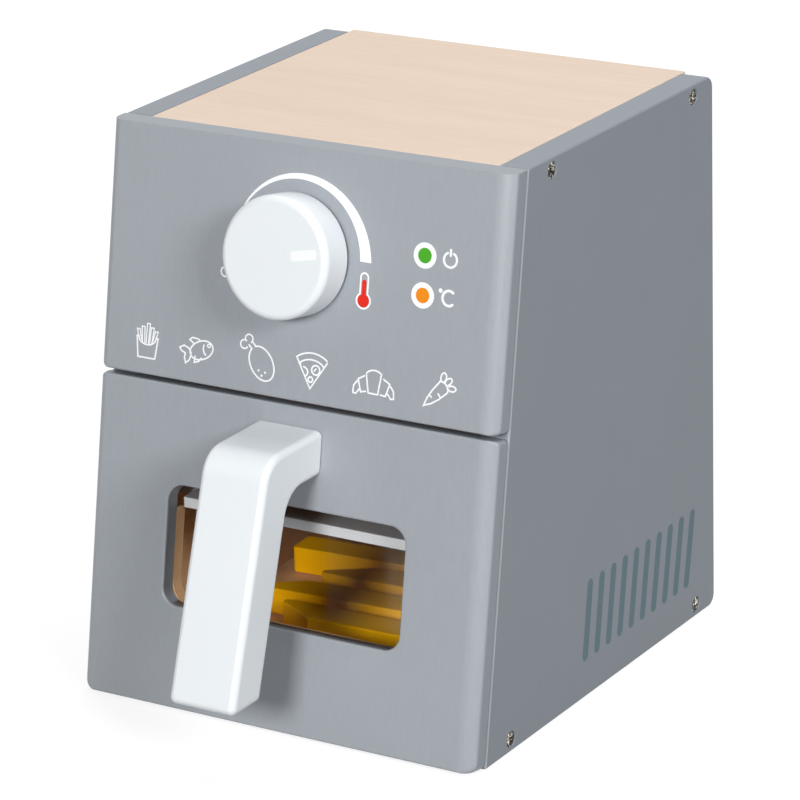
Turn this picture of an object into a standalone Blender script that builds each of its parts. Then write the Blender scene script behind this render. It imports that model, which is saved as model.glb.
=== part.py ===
"""A wooden toy air fryer: a case with a sloped front, a turning knob, and a drawer with a window and fries.

Metres, +X to the right and +Y to the back as seen from the front, +Z up. The origin lies on the ground, under
the middle of the bottom panel. Every piece is its own closed solid.
"""

import math

import bmesh
import bpy
from mathutils import Matrix, Vector

# Fits
JOINT_GAP = 0.0003
RUNNING_GAP = 0.0010
CUT_OVERRUN = 0.0020

# Case
CASE_WIDTH = 0.1677
CASE_HEIGHT = 0.2100
CASE_DEPTH = 0.1753
FRONT_TILT = math.radians(10.25)
SIDE_THICKNESS = 0.0112
SIDE_REAR_RADIUS = 0.0045
TOP_THICKNESS = 0.0095
BOTTOM_THICKNESS = 0.0095
BACK_THICKNESS = 0.0060
SHELF_THICKNESS = 0.0060
EDGE_RADIUS = 0.0009
SHARP_RADIUS = 0.0002

# Front boards: heights are measured up the slope
FRONT_THICKNESS = 0.0082
FRONT_LEFT_RADIUS = 0.0039
FRONT_RIGHT_RADIUS = 0.0064
FRONT_LOW = -0.0004
FRONT_GROUND_GAP = 0.0001
DRAWER_FRONT_TOP = 0.1191
SPLIT_GAP = 0.0017
DRAWER_FRONT_CORNER_RADII = (0.0040, 0.0022)
CONTROL_PANEL_CORNER_RADII = (0.0025, 0.0012)
SHELF_ABOVE_SPLIT = 0.0010

# Window and what lies behind it
WINDOW_X = -0.0003
WINDOW_WIDTH = 0.1006
WINDOW_LOW = 0.0378
WINDOW_HEIGHT = 0.0448
WINDOW_RADIUS = 0.0065
WINDOW_EDGE_RADIUS = 0.0009
LINER_REBATE = 0.0021
LINER_THICKNESS = 0.0052
LINER_TOP = 0.1130
LINER_SILL_DROP = 0.0013
LINER_SILL_RADIUS = 0.0095
LINER_SHOULDER = 0.0727
LINER_SHOULDER_SHARE = 0.375
LINER_WINDOW_TOP = 0.0846
PANE_THICKNESS = 0.0020
PANE_GROOVE_DEPTH = 0.0030

# The rail, a level plate across the drawer behind the window's upper part: its height above the ground,
# how far its front edge lies behind the side panels' front edge, how far its narrow part reaches back, and
# its whole reach
RAIL_LOW = 0.0709
RAIL_THICKNESS = 0.0041
RAIL_SETBACK = 0.0010
RAIL_NECK = 0.0110
RAIL_REACH = 0.0175
RAIL_CORNER_RADIUS = 0.0010

# Drawer box
WALL_THICKNESS = 0.0060
WALL_TOP = 0.0950
FLOOR_THICKNESS = 0.0055
DRAWER_BACK_GAP = 0.0030

# Handle, seen from the side: a stub and a grip that leans
HANDLE_X = -0.0004
HANDLE_WIDTH = 0.0274
HANDLE_TOP = 0.1120
HANDLE_REACH = 0.0348
STUB_HEIGHT = 0.0163
GRIP_LOW = 0.0257
GRIP_DEPTH = 0.0186
GRIP_LEAN = math.radians(18.8)
HANDLE_OUTER_RADIUS = 0.0120
HANDLE_INNER_RADIUS = 0.0120
HANDLE_END_RADIUS = 0.0025
HANDLE_EDGE_RADIUS = 0.0025

# Knob: heights are measured out from the control panel
KNOB_X = -0.0023
KNOB_ABOVE_MIDDLE = 0.0062
KNOB_RADIUS = 0.0222
KNOB_GAP = 0.0005
KNOB_HEIGHT = 0.0147
KNOB_RIM_RADIUS = 0.0027
KNOB_BORE_DEPTH = 0.0090
SPACER_RADIUS = 0.0100
SPACER_THICKNESS = 0.0010
SPINDLE_RADIUS = 0.0040
SPINDLE_END_PLAY = 0.0005
WASHER_RADIUS = 0.0080
WASHER_THICKNESS = 0.0012

# Wood screws: head radius, shank radius and length under the head's rim
SCREW_HEAD_RADIUS = 0.0029
SCREW_SHANK_RADIUS = 0.0016
SCREW_POINT_LENGTH = 0.0040
SCREW_CONE_DEPTH = 0.0018
SCREW_SUNK_DEPTH = 0.0005
CROSS_WIDTH = 0.0007
CROSS_SPAN = 0.0032
CROSS_DEPTH = 0.0011
CASE_SCREW_LENGTH = 0.0280
CASE_SCREW_FROM_REAR = 0.0155
CASE_SCREW_FROM_FRONT = 0.0176
HANDLE_SCREW_LENGTH = 0.0300
HANDLE_SCREW_SPACING = 0.0140
HANDLE_SCREW_UP_SLOPE = 0.1030
KNOB_SCREW_LENGTH = 0.0090
KNOB_SCREW_HEAD_HEIGHT = 0.0020

# Pegs that hold the control panel on the side panels
DOWEL_RADIUS = 0.0030
DOWEL_LENGTH = 0.0220
DOWEL_IN_PANEL = 0.0052
DOWEL_HEIGHT_SHARES = (0.16, 0.78)

# Fries: one square end and one slanted end
FRY_LENGTH = 0.0900
FRY_WIDTH = 0.0131
FRY_HEIGHT = 0.0104
FRY_SLANT = math.radians(31.3)
FRY_CORNER_RADIUS = 0.0018
FRY_EDGE_RADIUS = 0.0007
# Each fry: its centre as shares of its play between the drawer's sides, from the middle, and of the drawer's
# inside depth, from the pane, its turn in degrees, and whether its slanted end is on the right and leans
# the other way
FRY_PLACE_SHARES = (
    ("fry_rear", (-0.297, 0.628), 3.7, True, False),
    ("fry_back_middle", (0.170, 0.506), 2.2, False, False),
    ("fry_front_middle", (-0.189, 0.363), 3.0, False, False),
    ("fry_front", (0.245, 0.234), 1.7, False, True),
)

# How finely curves are cut
EDGE_STEPS = 2
SIDE_STEPS = 5
CORNER_STEPS = 4
HANDLE_STEPS = 7
SCREW_SIDES = 12
PIN_SIDES = 16
KNOB_SIDES = 48
SHADE_ANGLE = math.radians(35)

# Colours: red, green, blue
GREY_PAINT = (0.352, 0.376, 0.402)
WHITE_PAINT = (0.830, 0.850, 0.865)
PALE_GREY = (0.620, 0.625, 0.630)
PALE_WOOD = (0.780, 0.645, 0.520)
TAN_WOOD = (0.640, 0.400, 0.210)
YELLOW_PAINT = (0.900, 0.480, 0.020)
CLEAR = (0.900, 0.920, 0.920)
STEEL = (0.560, 0.520, 0.450)
FELT = (0.120, 0.120, 0.125)


def clear_scene():
    """Removes whatever the file opened with."""
    for thing in list(bpy.data.objects):
        bpy.data.objects.remove(thing, do_unlink=True)


def material(name, colour, roughness, metallic=0.0):
    """A plain finish."""
    finish = bpy.data.materials.new(name)
    finish.use_nodes = True
    shader = finish.node_tree.nodes["Principled BSDF"]
    shader.inputs["Base Color"].default_value = (*colour, 1.0)
    shader.inputs["Roughness"].default_value = roughness
    shader.inputs["Metallic"].default_value = metallic
    return finish


def add_object(name, mesh_builder, colour=None, roughness=0.5, metallic=0.0, parent=None):
    """Turns a bmesh into a named object with its own material; without a colour it is a cutter."""
    bmesh.ops.recalc_face_normals(mesh_builder, faces=mesh_builder.faces)
    mesh = bpy.data.meshes.new(name)
    mesh_builder.to_mesh(mesh)
    mesh_builder.free()
    mesh.shade_smooth()
    mesh.set_sharp_from_angle(angle=SHADE_ANGLE)
    made = bpy.data.objects.new(name, mesh)
    bpy.context.scene.collection.objects.link(made)
    made.parent = parent
    if colour is None:
        made.hide_render = True
        made.display_type = "WIRE"
    else:
        mesh.materials.append(material(name, colour, roughness, metallic))
    return made


def add_empty(name, location, tilt=0.0, parent=None):
    """A frame that pieces are placed in."""
    frame = bpy.data.objects.new(name, None)
    frame.location = location
    frame.rotation_euler = (tilt, 0.0, 0.0)
    frame.parent = parent
    bpy.context.scene.collection.objects.link(frame)
    return frame


def cut(target, cutter):
    """Takes a cutter's shape out of a piece."""
    boolean = target.modifiers.new("cut_" + cutter.name, "BOOLEAN")
    boolean.operation = "DIFFERENCE"
    boolean.solver = "EXACT"
    boolean.object = cutter


def moved_sides(corners, distances):
    """Moves each side of an anticlockwise outline inwards by its own distance."""
    count = len(corners)
    lines = []
    for index, corner in enumerate(corners):
        along = (corners[(index + 1) % count] - corner).normalized()
        inwards = Vector((-along.y, along.x))
        lines.append((corner + inwards * distances[index], along))
    moved = []
    for index in range(count):
        start, along = lines[index - 1]
        other, across = lines[index]
        reach = (other - start).cross(across) / along.cross(across)
        moved.append(start + along * reach)
    return moved


def rounded(corners, radii, steps):
    """Replaces each corner of an outline by an arc that touches both of its sides."""
    count = len(corners)
    points = []
    for index, corner in enumerate(corners):
        before = (corners[index - 1] - corner).normalized()
        after = (corners[(index + 1) % count] - corner).normalized()
        half_opening = before.angle(after) / 2
        first = corner + before * radii[index] / math.tan(half_opening)
        centre = corner + (before + after).normalized() * radii[index] / math.sin(half_opening)
        turn = (math.pi - 2 * half_opening) * (1 if after.cross(before) > 0 else -1)
        for step in range(steps + 1):
            spoke = first - centre
            spoke.rotate(Matrix.Rotation(turn * step / steps, 2))
            points.append(centre + spoke)
    return points


def edge_inset(depth, radius):
    """How far a rounded edge stands back at a depth below its face."""
    above_centre = max(radius - max(depth, 0.0), 0.0)
    return radius - math.sqrt(radius**2 - above_centre**2)


def arc_depths(radius, steps):
    """Depths below a face at which a rounded edge is cut into rings."""
    return [radius * (1 - math.cos(math.pi / 2 * step / steps)) for step in range(steps + 1)]


def slab(corners, corner_radii, thickness, front_radii, back_radii, place, steps=CORNER_STEPS):
    """A board: an anticlockwise outline, rounded at its corners and along the edges of both faces.

    The radii of the edges are given for each side; place turns (u, v, depth) into a point.
    """
    count = len(corners)
    depths = set()
    for radius in {*front_radii, *back_radii}:
        wide = radius > 2 * EDGE_RADIUS
        for depth in arc_depths(radius, SIDE_STEPS if wide else EDGE_STEPS):
            if radius in front_radii:
                depths.add(round(depth, 7))
            if radius in back_radii:
                depths.add(round(thickness - depth, 7))
    board = bmesh.new()
    rings = []
    for depth in sorted(depths):
        insets = []
        for front, back in zip(front_radii, back_radii):
            insets.append(max(edge_inset(depth, front), edge_inset(thickness - depth, back)))
        outline = moved_sides(corners, insets)
        radii = []
        for index, radius in enumerate(corner_radii):
            inset = (insets[index - 1] + insets[index]) / 2
            before = corners[index] - corners[index - 1]
            after = corners[(index + 1) % count] - corners[index]
            bulges = before.cross(after) > 0
            radii.append(max(radius - inset, SHARP_RADIUS) if bulges else radius + inset)
        ring = rounded(outline, radii, steps)
        rings.append([board.verts.new(place(point.x, point.y, depth)) for point in ring])
    for ring, following in zip(rings, rings[1:]):
        for index in range(len(ring)):
            ahead = (index + 1) % len(ring)
            board.faces.new((ring[index], ring[ahead], following[ahead], following[index]))
    board.faces.new(rings[0])
    board.faces.new(rings[-1])
    return board


def block(low, high):
    """A plain box between two corners."""
    box = bmesh.new()
    size = Vector(high) - Vector(low)
    middle = (Vector(high) + Vector(low)) / 2
    bmesh.ops.create_cube(box, size=1.0, matrix=Matrix.Translation(middle) @ Matrix.Diagonal(size.to_4d()))
    return box


def prism(outline, low, high):
    """An outline in (x, y) drawn up from one height to another."""
    solid = bmesh.new()
    rings = [[solid.verts.new((*point, height)) for point in outline] for height in (low, high)]
    for index in range(len(outline)):
        ahead = (index + 1) % len(outline)
        solid.faces.new((rings[0][index], rings[0][ahead], rings[1][ahead], rings[1][index]))
    solid.faces.new(rings[0])
    solid.faces.new(rings[1])
    return solid


def turned(profile, sides):
    """A solid turned about +Z from (radius, height) points that start and end on the axis."""
    solid = bmesh.new()
    rings = []
    for radius, height in profile:
        if radius == 0:
            rings.append([solid.verts.new((0, 0, height))] * sides)
            continue
        angles = [2 * math.pi * side / sides for side in range(sides)]
        rings.append([solid.verts.new((radius * math.cos(a), radius * math.sin(a), height)) for a in angles])
    for ring, following in zip(rings, rings[1:]):
        for index in range(sides):
            ahead = (index + 1) % sides
            around = (ring[index], ring[ahead], following[ahead], following[index])
            solid.faces.new(dict.fromkeys(around))
    return solid


def front_y(height):
    """Where the side panels' front edge is at a height above the ground."""
    return -CASE_DEPTH / 2 + height * math.tan(FRONT_TILT)


def side_profile_board(name, half_width, outline, colour, roughness, radii=None, parent=None):
    """A board that runs across the case, from its outline in (y, z)."""
    corners = [Vector(point) for point in outline]
    radii = radii or [SHARP_RADIUS] * len(corners)
    edges = [SHARP_RADIUS] * len(corners)

    def place(y, z, depth):
        return (half_width - depth, y, z)

    board = slab(corners, radii, 2 * half_width, edges, edges, place, steps=1)
    return add_object(name, board, colour, roughness, parent=parent)


def make_side_panel(side, sign):
    """A painted side board with its sloped front edge and rounded rear corners."""
    outline = [
        Vector((front_y(0), 0)),
        Vector((CASE_DEPTH / 2, 0)),
        Vector((CASE_DEPTH / 2, CASE_HEIGHT)),
        Vector((front_y(CASE_HEIGHT), CASE_HEIGHT)),
    ]
    radii = [EDGE_RADIUS, SIDE_REAR_RADIUS, SIDE_REAR_RADIUS, EDGE_RADIUS]

    def place(y, z, depth):
        return (sign * (CASE_WIDTH / 2 - depth), y, z)

    eased = [EDGE_RADIUS] * len(outline)
    sharp = [SHARP_RADIUS] * len(outline)
    board = slab(outline, radii, SIDE_THICKNESS, eased, sharp, place)
    return add_object("side_panel_" + side, board, GREY_PAINT, 0.55)


def make_cross_panels():
    """The boards between the side panels: top, bottom, back and shelf."""
    half = CASE_WIDTH / 2 - SIDE_THICKNESS - JOINT_GAP
    rear = CASE_DEPTH / 2
    inside_rear = rear - BACK_THICKNESS - JOINT_GAP
    underside = CASE_HEIGHT - TOP_THICKNESS
    split = (DRAWER_FRONT_TOP + SPLIT_GAP) * math.cos(FRONT_TILT)
    shelf_low = split + SHELF_ABOVE_SPLIT
    shelf_top = shelf_low + SHELF_THICKNESS
    panels = {
        "top_panel": (
            [
                (front_y(underside), underside),
                (rear, underside),
                (rear, CASE_HEIGHT),
                (front_y(CASE_HEIGHT), CASE_HEIGHT),
            ],
            PALE_WOOD,
        ),
        "bottom_panel": (
            [(front_y(0), 0), (rear, 0), (rear, BOTTOM_THICKNESS), (front_y(BOTTOM_THICKNESS), BOTTOM_THICKNESS)],
            PALE_WOOD,
        ),
        "back_panel": (
            [
                (inside_rear + JOINT_GAP, BOTTOM_THICKNESS + JOINT_GAP),
                (rear, BOTTOM_THICKNESS + JOINT_GAP),
                (rear, underside - JOINT_GAP),
                (inside_rear + JOINT_GAP, underside - JOINT_GAP),
            ],
            GREY_PAINT,
        ),
        "shelf_panel": (
            [
                (front_y(shelf_low), shelf_low),
                (inside_rear, shelf_low),
                (inside_rear, shelf_top),
                (front_y(shelf_top), shelf_top),
            ],
            PALE_WOOD,
        ),
    }
    made = {}
    for name, (outline, colour) in panels.items():
        made[name] = side_profile_board(name, half, outline, colour, 0.6)
    return made


def front_board(name, low, high, low_radius, high_radius, parent):
    """A painted front board on the slope, rounded down its two upright edges."""
    half = CASE_WIDTH / 2
    outline = [Vector((-half, low)), Vector((half, low)), Vector((half, high)), Vector((-half, high))]
    edges = [EDGE_RADIUS, FRONT_RIGHT_RADIUS, EDGE_RADIUS, FRONT_LEFT_RADIUS]

    def place(x, up, depth):
        return (x, depth - FRONT_THICKNESS - JOINT_GAP, up)

    radii = [low_radius, low_radius, high_radius, high_radius]
    board = slab(outline, radii, FRONT_THICKNESS, edges, [EDGE_RADIUS] * len(outline), place)
    return add_object(name, board, GREY_PAINT, 0.55, parent=parent)


def make_control_panel(slope):
    """The upper front board, sawn level with the top of the case."""
    low = DRAWER_FRONT_TOP + SPLIT_GAP
    beyond_top = CASE_HEIGHT / math.cos(FRONT_TILT) + FRONT_THICKNESS
    panel = front_board("control_panel", low, beyond_top, *CONTROL_PANEL_CORNER_RADII, slope)
    saw = block((-CASE_WIDTH, -CASE_DEPTH, CASE_HEIGHT), (CASE_WIDTH, CASE_DEPTH, 2 * CASE_HEIGHT))
    cut(panel, add_object("top_saw", saw))
    return panel


def window_outline(grow=0.0):
    """The window's corners on the slope, anticlockwise, grown outwards."""
    left = WINDOW_X - WINDOW_WIDTH / 2 - grow
    right = WINDOW_X + WINDOW_WIDTH / 2 + grow
    low = WINDOW_LOW - grow
    high = WINDOW_LOW + WINDOW_HEIGHT + grow
    return [Vector((left, low)), Vector((right, low)), Vector((right, high)), Vector((left, high))]


def make_drawer_front(slope):
    """The lower front board, level along its foot, with its window, whose outer edge is eased."""
    board = front_board("drawer_front", FRONT_LOW, DRAWER_FRONT_TOP, *DRAWER_FRONT_CORNER_RADII, slope)
    saw = block((-CASE_WIDTH, -CASE_DEPTH, -CASE_HEIGHT), (CASE_WIDTH, CASE_DEPTH, FRONT_GROUND_GAP))
    cut(board, add_object("foot_saw", saw, parent=slope.parent))
    face = -FRONT_THICKNESS - JOINT_GAP
    rows = [(face - CUT_OVERRUN, WINDOW_EDGE_RADIUS)]
    for depth in arc_depths(WINDOW_EDGE_RADIUS, EDGE_STEPS):
        rows.append((face + depth, edge_inset(depth, WINDOW_EDGE_RADIUS)))
    rows.append((CUT_OVERRUN, 0.0))
    opening = bmesh.new()
    rings = []
    for y, grow in rows:
        ring = rounded(window_outline(grow), [WINDOW_RADIUS + grow] * 4, CORNER_STEPS)
        rings.append([opening.verts.new((point.x, y, point.y)) for point in ring])
    for ring, following in zip(rings, rings[1:]):
        for index in range(len(ring)):
            ahead = (index + 1) % len(ring)
            opening.faces.new((ring[index], ring[ahead], following[ahead], following[index]))
    opening.faces.new(rings[0])
    opening.faces.new(rings[-1])
    cut(board, add_object("window_cutter", opening, parent=slope))
    side = drawer_half_width() + JOINT_GAP
    low = liner_low() - JOINT_GAP
    rebate = block((-side, -LINER_REBATE - JOINT_GAP, low), (side, CUT_OVERRUN, LINER_TOP + JOINT_GAP))
    cut(board, add_object("rebate_cutter", rebate, parent=slope))
    return board


def drawer_half_width():
    """Half the width of the drawer box, which runs between the side panels."""
    return CASE_WIDTH / 2 - SIDE_THICKNESS - RUNNING_GAP


def liner_back():
    """How far the liner's back face lies behind the side panels' front edge."""
    return LINER_THICKNESS - LINER_REBATE


def liner_low():
    """Height up the slope of the liner's lower edge, clear of the bottom panel at its back face."""
    lowest = BOTTOM_THICKNESS + JOINT_GAP + liner_back() * math.sin(FRONT_TILT)
    return lowest / math.cos(FRONT_TILT)


def make_liner(slope):
    """The natural board let into the drawer front's back; its opening is wider above the rail's foot."""
    half = drawer_half_width()
    outline = [
        Vector((-half, liner_low())),
        Vector((half, liner_low())),
        Vector((half, LINER_TOP)),
        Vector((-half, LINER_TOP)),
    ]

    def place(x, up, depth):
        return (x, depth - LINER_REBATE, up)

    sharp = [SHARP_RADIUS] * len(outline)
    board = add_object(
        "drawer_liner", slab(outline, sharp, LINER_THICKNESS, sharp, sharp, place), TAN_WOOD, 0.6, parent=slope
    )
    left = WINDOW_X - WINDOW_WIDTH / 2
    right = WINDOW_X + WINDOW_WIDTH / 2
    sill = WINDOW_LOW - LINER_SILL_DROP
    shoulder = (half - WINDOW_WIDTH / 2) * LINER_SHOULDER_SHARE
    corners = [
        Vector((left, sill)),
        Vector((right, sill)),
        Vector((right, LINER_SHOULDER)),
        Vector((right + shoulder, LINER_SHOULDER)),
        Vector((right + shoulder, LINER_WINDOW_TOP)),
        Vector((left - shoulder, LINER_WINDOW_TOP)),
        Vector((left - shoulder, LINER_SHOULDER)),
        Vector((left, LINER_SHOULDER)),
    ]
    radii = [LINER_SILL_RADIUS] * 2 + [SHARP_RADIUS] * 6
    through = prism(rounded(corners, radii, CORNER_STEPS), -LINER_THICKNESS, LINER_THICKNESS)
    opening = add_object("liner_window_cutter", through, parent=slope)
    opening.rotation_euler = (math.pi / 2, 0.0, 0.0)
    cut(board, opening)
    return board


def make_rail(drawer):
    """The pale level plate behind the window, narrow in front, that reaches the drawer's side walls behind."""
    top = RAIL_LOW + RAIL_THICKNESS
    near = front_y(RAIL_LOW + RAIL_THICKNESS / 2) + RAIL_SETBACK / math.cos(FRONT_TILT)
    shoulder = near + RAIL_NECK
    rear = near + RAIL_REACH
    half = WINDOW_WIDTH / 2 - JOINT_GAP
    wide = drawer_half_width() - WALL_THICKNESS - JOINT_GAP
    outline = [
        Vector((WINDOW_X - half, near)),
        Vector((WINDOW_X + half, near)),
        Vector((WINDOW_X + half, shoulder)),
        Vector((wide, shoulder)),
        Vector((wide, rear)),
        Vector((-wide, rear)),
        Vector((-wide, shoulder)),
        Vector((WINDOW_X - half, shoulder)),
    ]

    def place(x, y, depth):
        return (x, y, top - depth)

    sharp = [SHARP_RADIUS] * len(outline)
    corners = [RAIL_CORNER_RADIUS] * 2 + [SHARP_RADIUS] * 6
    plate = slab(outline, corners, RAIL_THICKNESS, sharp, sharp, place, steps=2)
    return add_object("window_rail", plate, PALE_GREY, 0.4, parent=drawer)


def floor_top():
    """Height of the drawer floor's upper face."""
    return BOTTOM_THICKNESS + JOINT_GAP + FLOOR_THICKNESS


def make_pane(slope):
    """The clear pane, which stands on the drawer floor under the rail, in a groove of each side wall."""
    half = drawer_half_width() - WALL_THICKNESS + PANE_GROOVE_DEPTH - JOINT_GAP
    near = liner_back() + JOINT_GAP
    far = near + PANE_THICKNESS
    low = (floor_top() + JOINT_GAP + far * math.sin(FRONT_TILT)) / math.cos(FRONT_TILT)
    high = (RAIL_LOW - JOINT_GAP + near * math.sin(FRONT_TILT)) / math.cos(FRONT_TILT)
    sheet = block((-half, near, low), (half, far, high))
    return add_object("window_pane", sheet, CLEAR, 0.05, parent=slope)


def drawer_rear():
    """Where the drawer's back wall ends when the drawer is shut."""
    return CASE_DEPTH / 2 - BACK_THICKNESS - DRAWER_BACK_GAP


def behind_liner(height, gap=JOINT_GAP):
    """Where a piece inside the drawer starts at a height, clear of the liner's back face."""
    return front_y(height) + (liner_back() + gap) / math.cos(FRONT_TILT)


def make_drawer_box(drawer, slope):
    """The two side walls, the back wall and the floor, in natural wood."""
    half = drawer_half_width()
    inner = half - WALL_THICKNESS
    low = BOTTOM_THICKNESS + JOINT_GAP
    rear = drawer_rear()
    groove = add_object(
        "pane_groove_cutter",
        block(
            (-inner - PANE_GROOVE_DEPTH, -LINER_THICKNESS, -WALL_TOP),
            (inner + PANE_GROOVE_DEPTH, liner_back() + PANE_THICKNESS + 2 * JOINT_GAP, 2 * WALL_TOP),
        ),
        parent=slope,
    )
    outline = [
        Vector((behind_liner(low), low)),
        Vector((rear, low)),
        Vector((rear, WALL_TOP)),
        Vector((behind_liner(WALL_TOP), WALL_TOP)),
    ]
    for side, sign in (("left", -1), ("right", 1)):

        def place(y, z, depth, sign=sign):
            return (sign * (half - depth), y, z)

        sharp = [SHARP_RADIUS] * len(outline)
        wall = slab(outline, sharp, WALL_THICKNESS, sharp, sharp, place, steps=1)
        cut(add_object("drawer_side_" + side, wall, TAN_WOOD, 0.6, parent=drawer), groove)
    between = inner - JOINT_GAP
    back = block((-between, rear - WALL_THICKNESS, low), (between, rear, WALL_TOP))
    add_object("drawer_back", back, TAN_WOOD, 0.6, parent=drawer)
    floor_end = rear - WALL_THICKNESS - JOINT_GAP
    floor = [
        (behind_liner(low), low),
        (floor_end, low),
        (floor_end, floor_top()),
        (behind_liner(floor_top()), floor_top()),
    ]
    side_profile_board("drawer_floor", between, floor, TAN_WOOD, 0.6, parent=drawer)


def make_handle(drawer):
    """The handle: a stub out of the drawer front and a grip that leans away from it."""
    lean = math.tan(GRIP_LEAN)

    def face_y(height):
        return front_y(height) - (FRONT_THICKNESS + 2 * JOINT_GAP) / math.cos(FRONT_TILT)

    corner_y = face_y(HANDLE_TOP) - HANDLE_REACH

    def grip_y(height):
        return corner_y - (HANDLE_TOP - height) * lean

    stub_low = HANDLE_TOP - STUB_HEIGHT
    corners = [
        Vector((grip_y(HANDLE_TOP), HANDLE_TOP)),
        Vector((grip_y(GRIP_LOW), GRIP_LOW)),
        Vector((grip_y(GRIP_LOW) + GRIP_DEPTH, GRIP_LOW)),
        Vector((grip_y(stub_low) + GRIP_DEPTH, stub_low)),
        Vector((face_y(stub_low), stub_low)),
        Vector((face_y(HANDLE_TOP), HANDLE_TOP)),
    ]
    radii = [
        HANDLE_OUTER_RADIUS,
        HANDLE_END_RADIUS,
        HANDLE_END_RADIUS,
        HANDLE_INNER_RADIUS,
        EDGE_RADIUS,
        EDGE_RADIUS,
    ]
    edges = [HANDLE_EDGE_RADIUS] * len(corners)
    edges[4] = SHARP_RADIUS

    def place(y, z, depth):
        return (HANDLE_X + HANDLE_WIDTH / 2 - depth, y, z)

    body = slab(corners, radii, HANDLE_WIDTH, edges, edges, place, steps=HANDLE_STEPS)
    return add_object("handle", body, WHITE_PAINT, 0.35, parent=drawer)


def screw_profile(length, grow=0.0, sunk=0.0):
    """A countersunk screw pointing down -Z with its head's rim at the origin, or the hole for it."""
    head = SCREW_HEAD_RADIUS + grow
    shank = SCREW_SHANK_RADIUS + grow
    cone = SCREW_CONE_DEPTH
    profile = [(0, sunk)]
    if sunk:
        profile.append((head, sunk))
    profile += [(head, 0), (shank, -cone), (shank, SCREW_POINT_LENGTH - length), (0, -length - grow)]
    return profile


def add_cross_recess(screw, name, drive_at):
    """Cuts the cross for the screwdriver into a screw's head."""
    far = CROSS_SPAN / 2
    near = CROSS_WIDTH / 2
    arm = ((far, -near), (far, near), (near, near))
    outline = []
    for quarter in range(4):
        turn = Matrix.Rotation(quarter * math.pi / 2, 2)
        outline += [turn @ Vector(point) for point in arm]
    cutter = add_object(name + "_cross", prism(outline, drive_at - CROSS_DEPTH, drive_at + CROSS_DEPTH))
    cutter.parent = screw.parent
    cutter.location = screw.location
    cutter.rotation_euler = screw.rotation_euler
    cut(screw, cutter)


def add_screw(name, location, direction, length, holed, parent=None):
    """A countersunk screw whose head faces a direction, and its hole in each board it passes."""
    turn = Vector((0, 0, 1)).rotation_difference(direction).to_euler()
    screw = add_object(name, turned(screw_profile(length), SCREW_SIDES), STEEL, 0.35, 0.9, parent)
    hole = add_object(name + "_hole", turned(screw_profile(length, JOINT_GAP, CUT_OVERRUN), SCREW_SIDES))
    hole.parent = parent
    for thing in (screw, hole):
        thing.location = location
        thing.rotation_euler = turn
    for board in holed:
        cut(board, hole)
    add_cross_recess(screw, name, 0.0)
    return screw


def make_case_screws(sides, cross_panels):
    """Four screws in each side panel, into the edges of the top and bottom panels."""
    rear = CASE_DEPTH / 2 - CASE_SCREW_FROM_REAR
    levels = {
        "top": (CASE_HEIGHT - TOP_THICKNESS / 2, cross_panels["top_panel"]),
        "bottom": (BOTTOM_THICKNESS / 2, cross_panels["bottom_panel"]),
    }
    for side, sign in (("left", -1), ("right", 1)):
        for level, (height, panel) in levels.items():
            for end, y in (("front", front_y(height) + CASE_SCREW_FROM_FRONT), ("rear", rear)):
                place = Vector((sign * (CASE_WIDTH / 2 - SCREW_SUNK_DEPTH), y, height))
                name = f"case_screw_{side}_{level}_{end}"
                add_screw(name, place, Vector((sign, 0, 0)), CASE_SCREW_LENGTH, (sides[side], panel))


def make_dowels(sides, control_panel, slope):
    """Wooden pegs from the control panel's back into the front edges of the side panels."""
    low = DRAWER_FRONT_TOP + SPLIT_GAP
    reach = CASE_HEIGHT / math.cos(FRONT_TILT) - low
    start = -JOINT_GAP - DOWEL_IN_PANEL
    for side, sign in (("left", -1), ("right", 1)):
        for level, share in zip(("lower", "upper"), DOWEL_HEIGHT_SHARES):
            name = f"control_panel_dowel_{side}_{level}"
            pieces = []
            for label, grow in ((name, 0.0), (name + "_hole", JOINT_GAP)):
                radius = DOWEL_RADIUS + grow
                ends = (-grow, DOWEL_LENGTH + grow)
                peg = turned([(0, ends[0]), (radius, ends[0]), (radius, ends[1]), (0, ends[1])], SCREW_SIDES)
                colour = None if grow else PALE_WOOD
                piece = add_object(label, peg, colour, 0.6, parent=slope)
                piece.location = (sign * (CASE_WIDTH - SIDE_THICKNESS) / 2, start, low + share * reach)
                piece.rotation_euler = (-math.pi / 2, 0.0, 0.0)
                pieces.append(piece)
            cut(control_panel, pieces[1])
            cut(sides[side], pieces[1])


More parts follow.
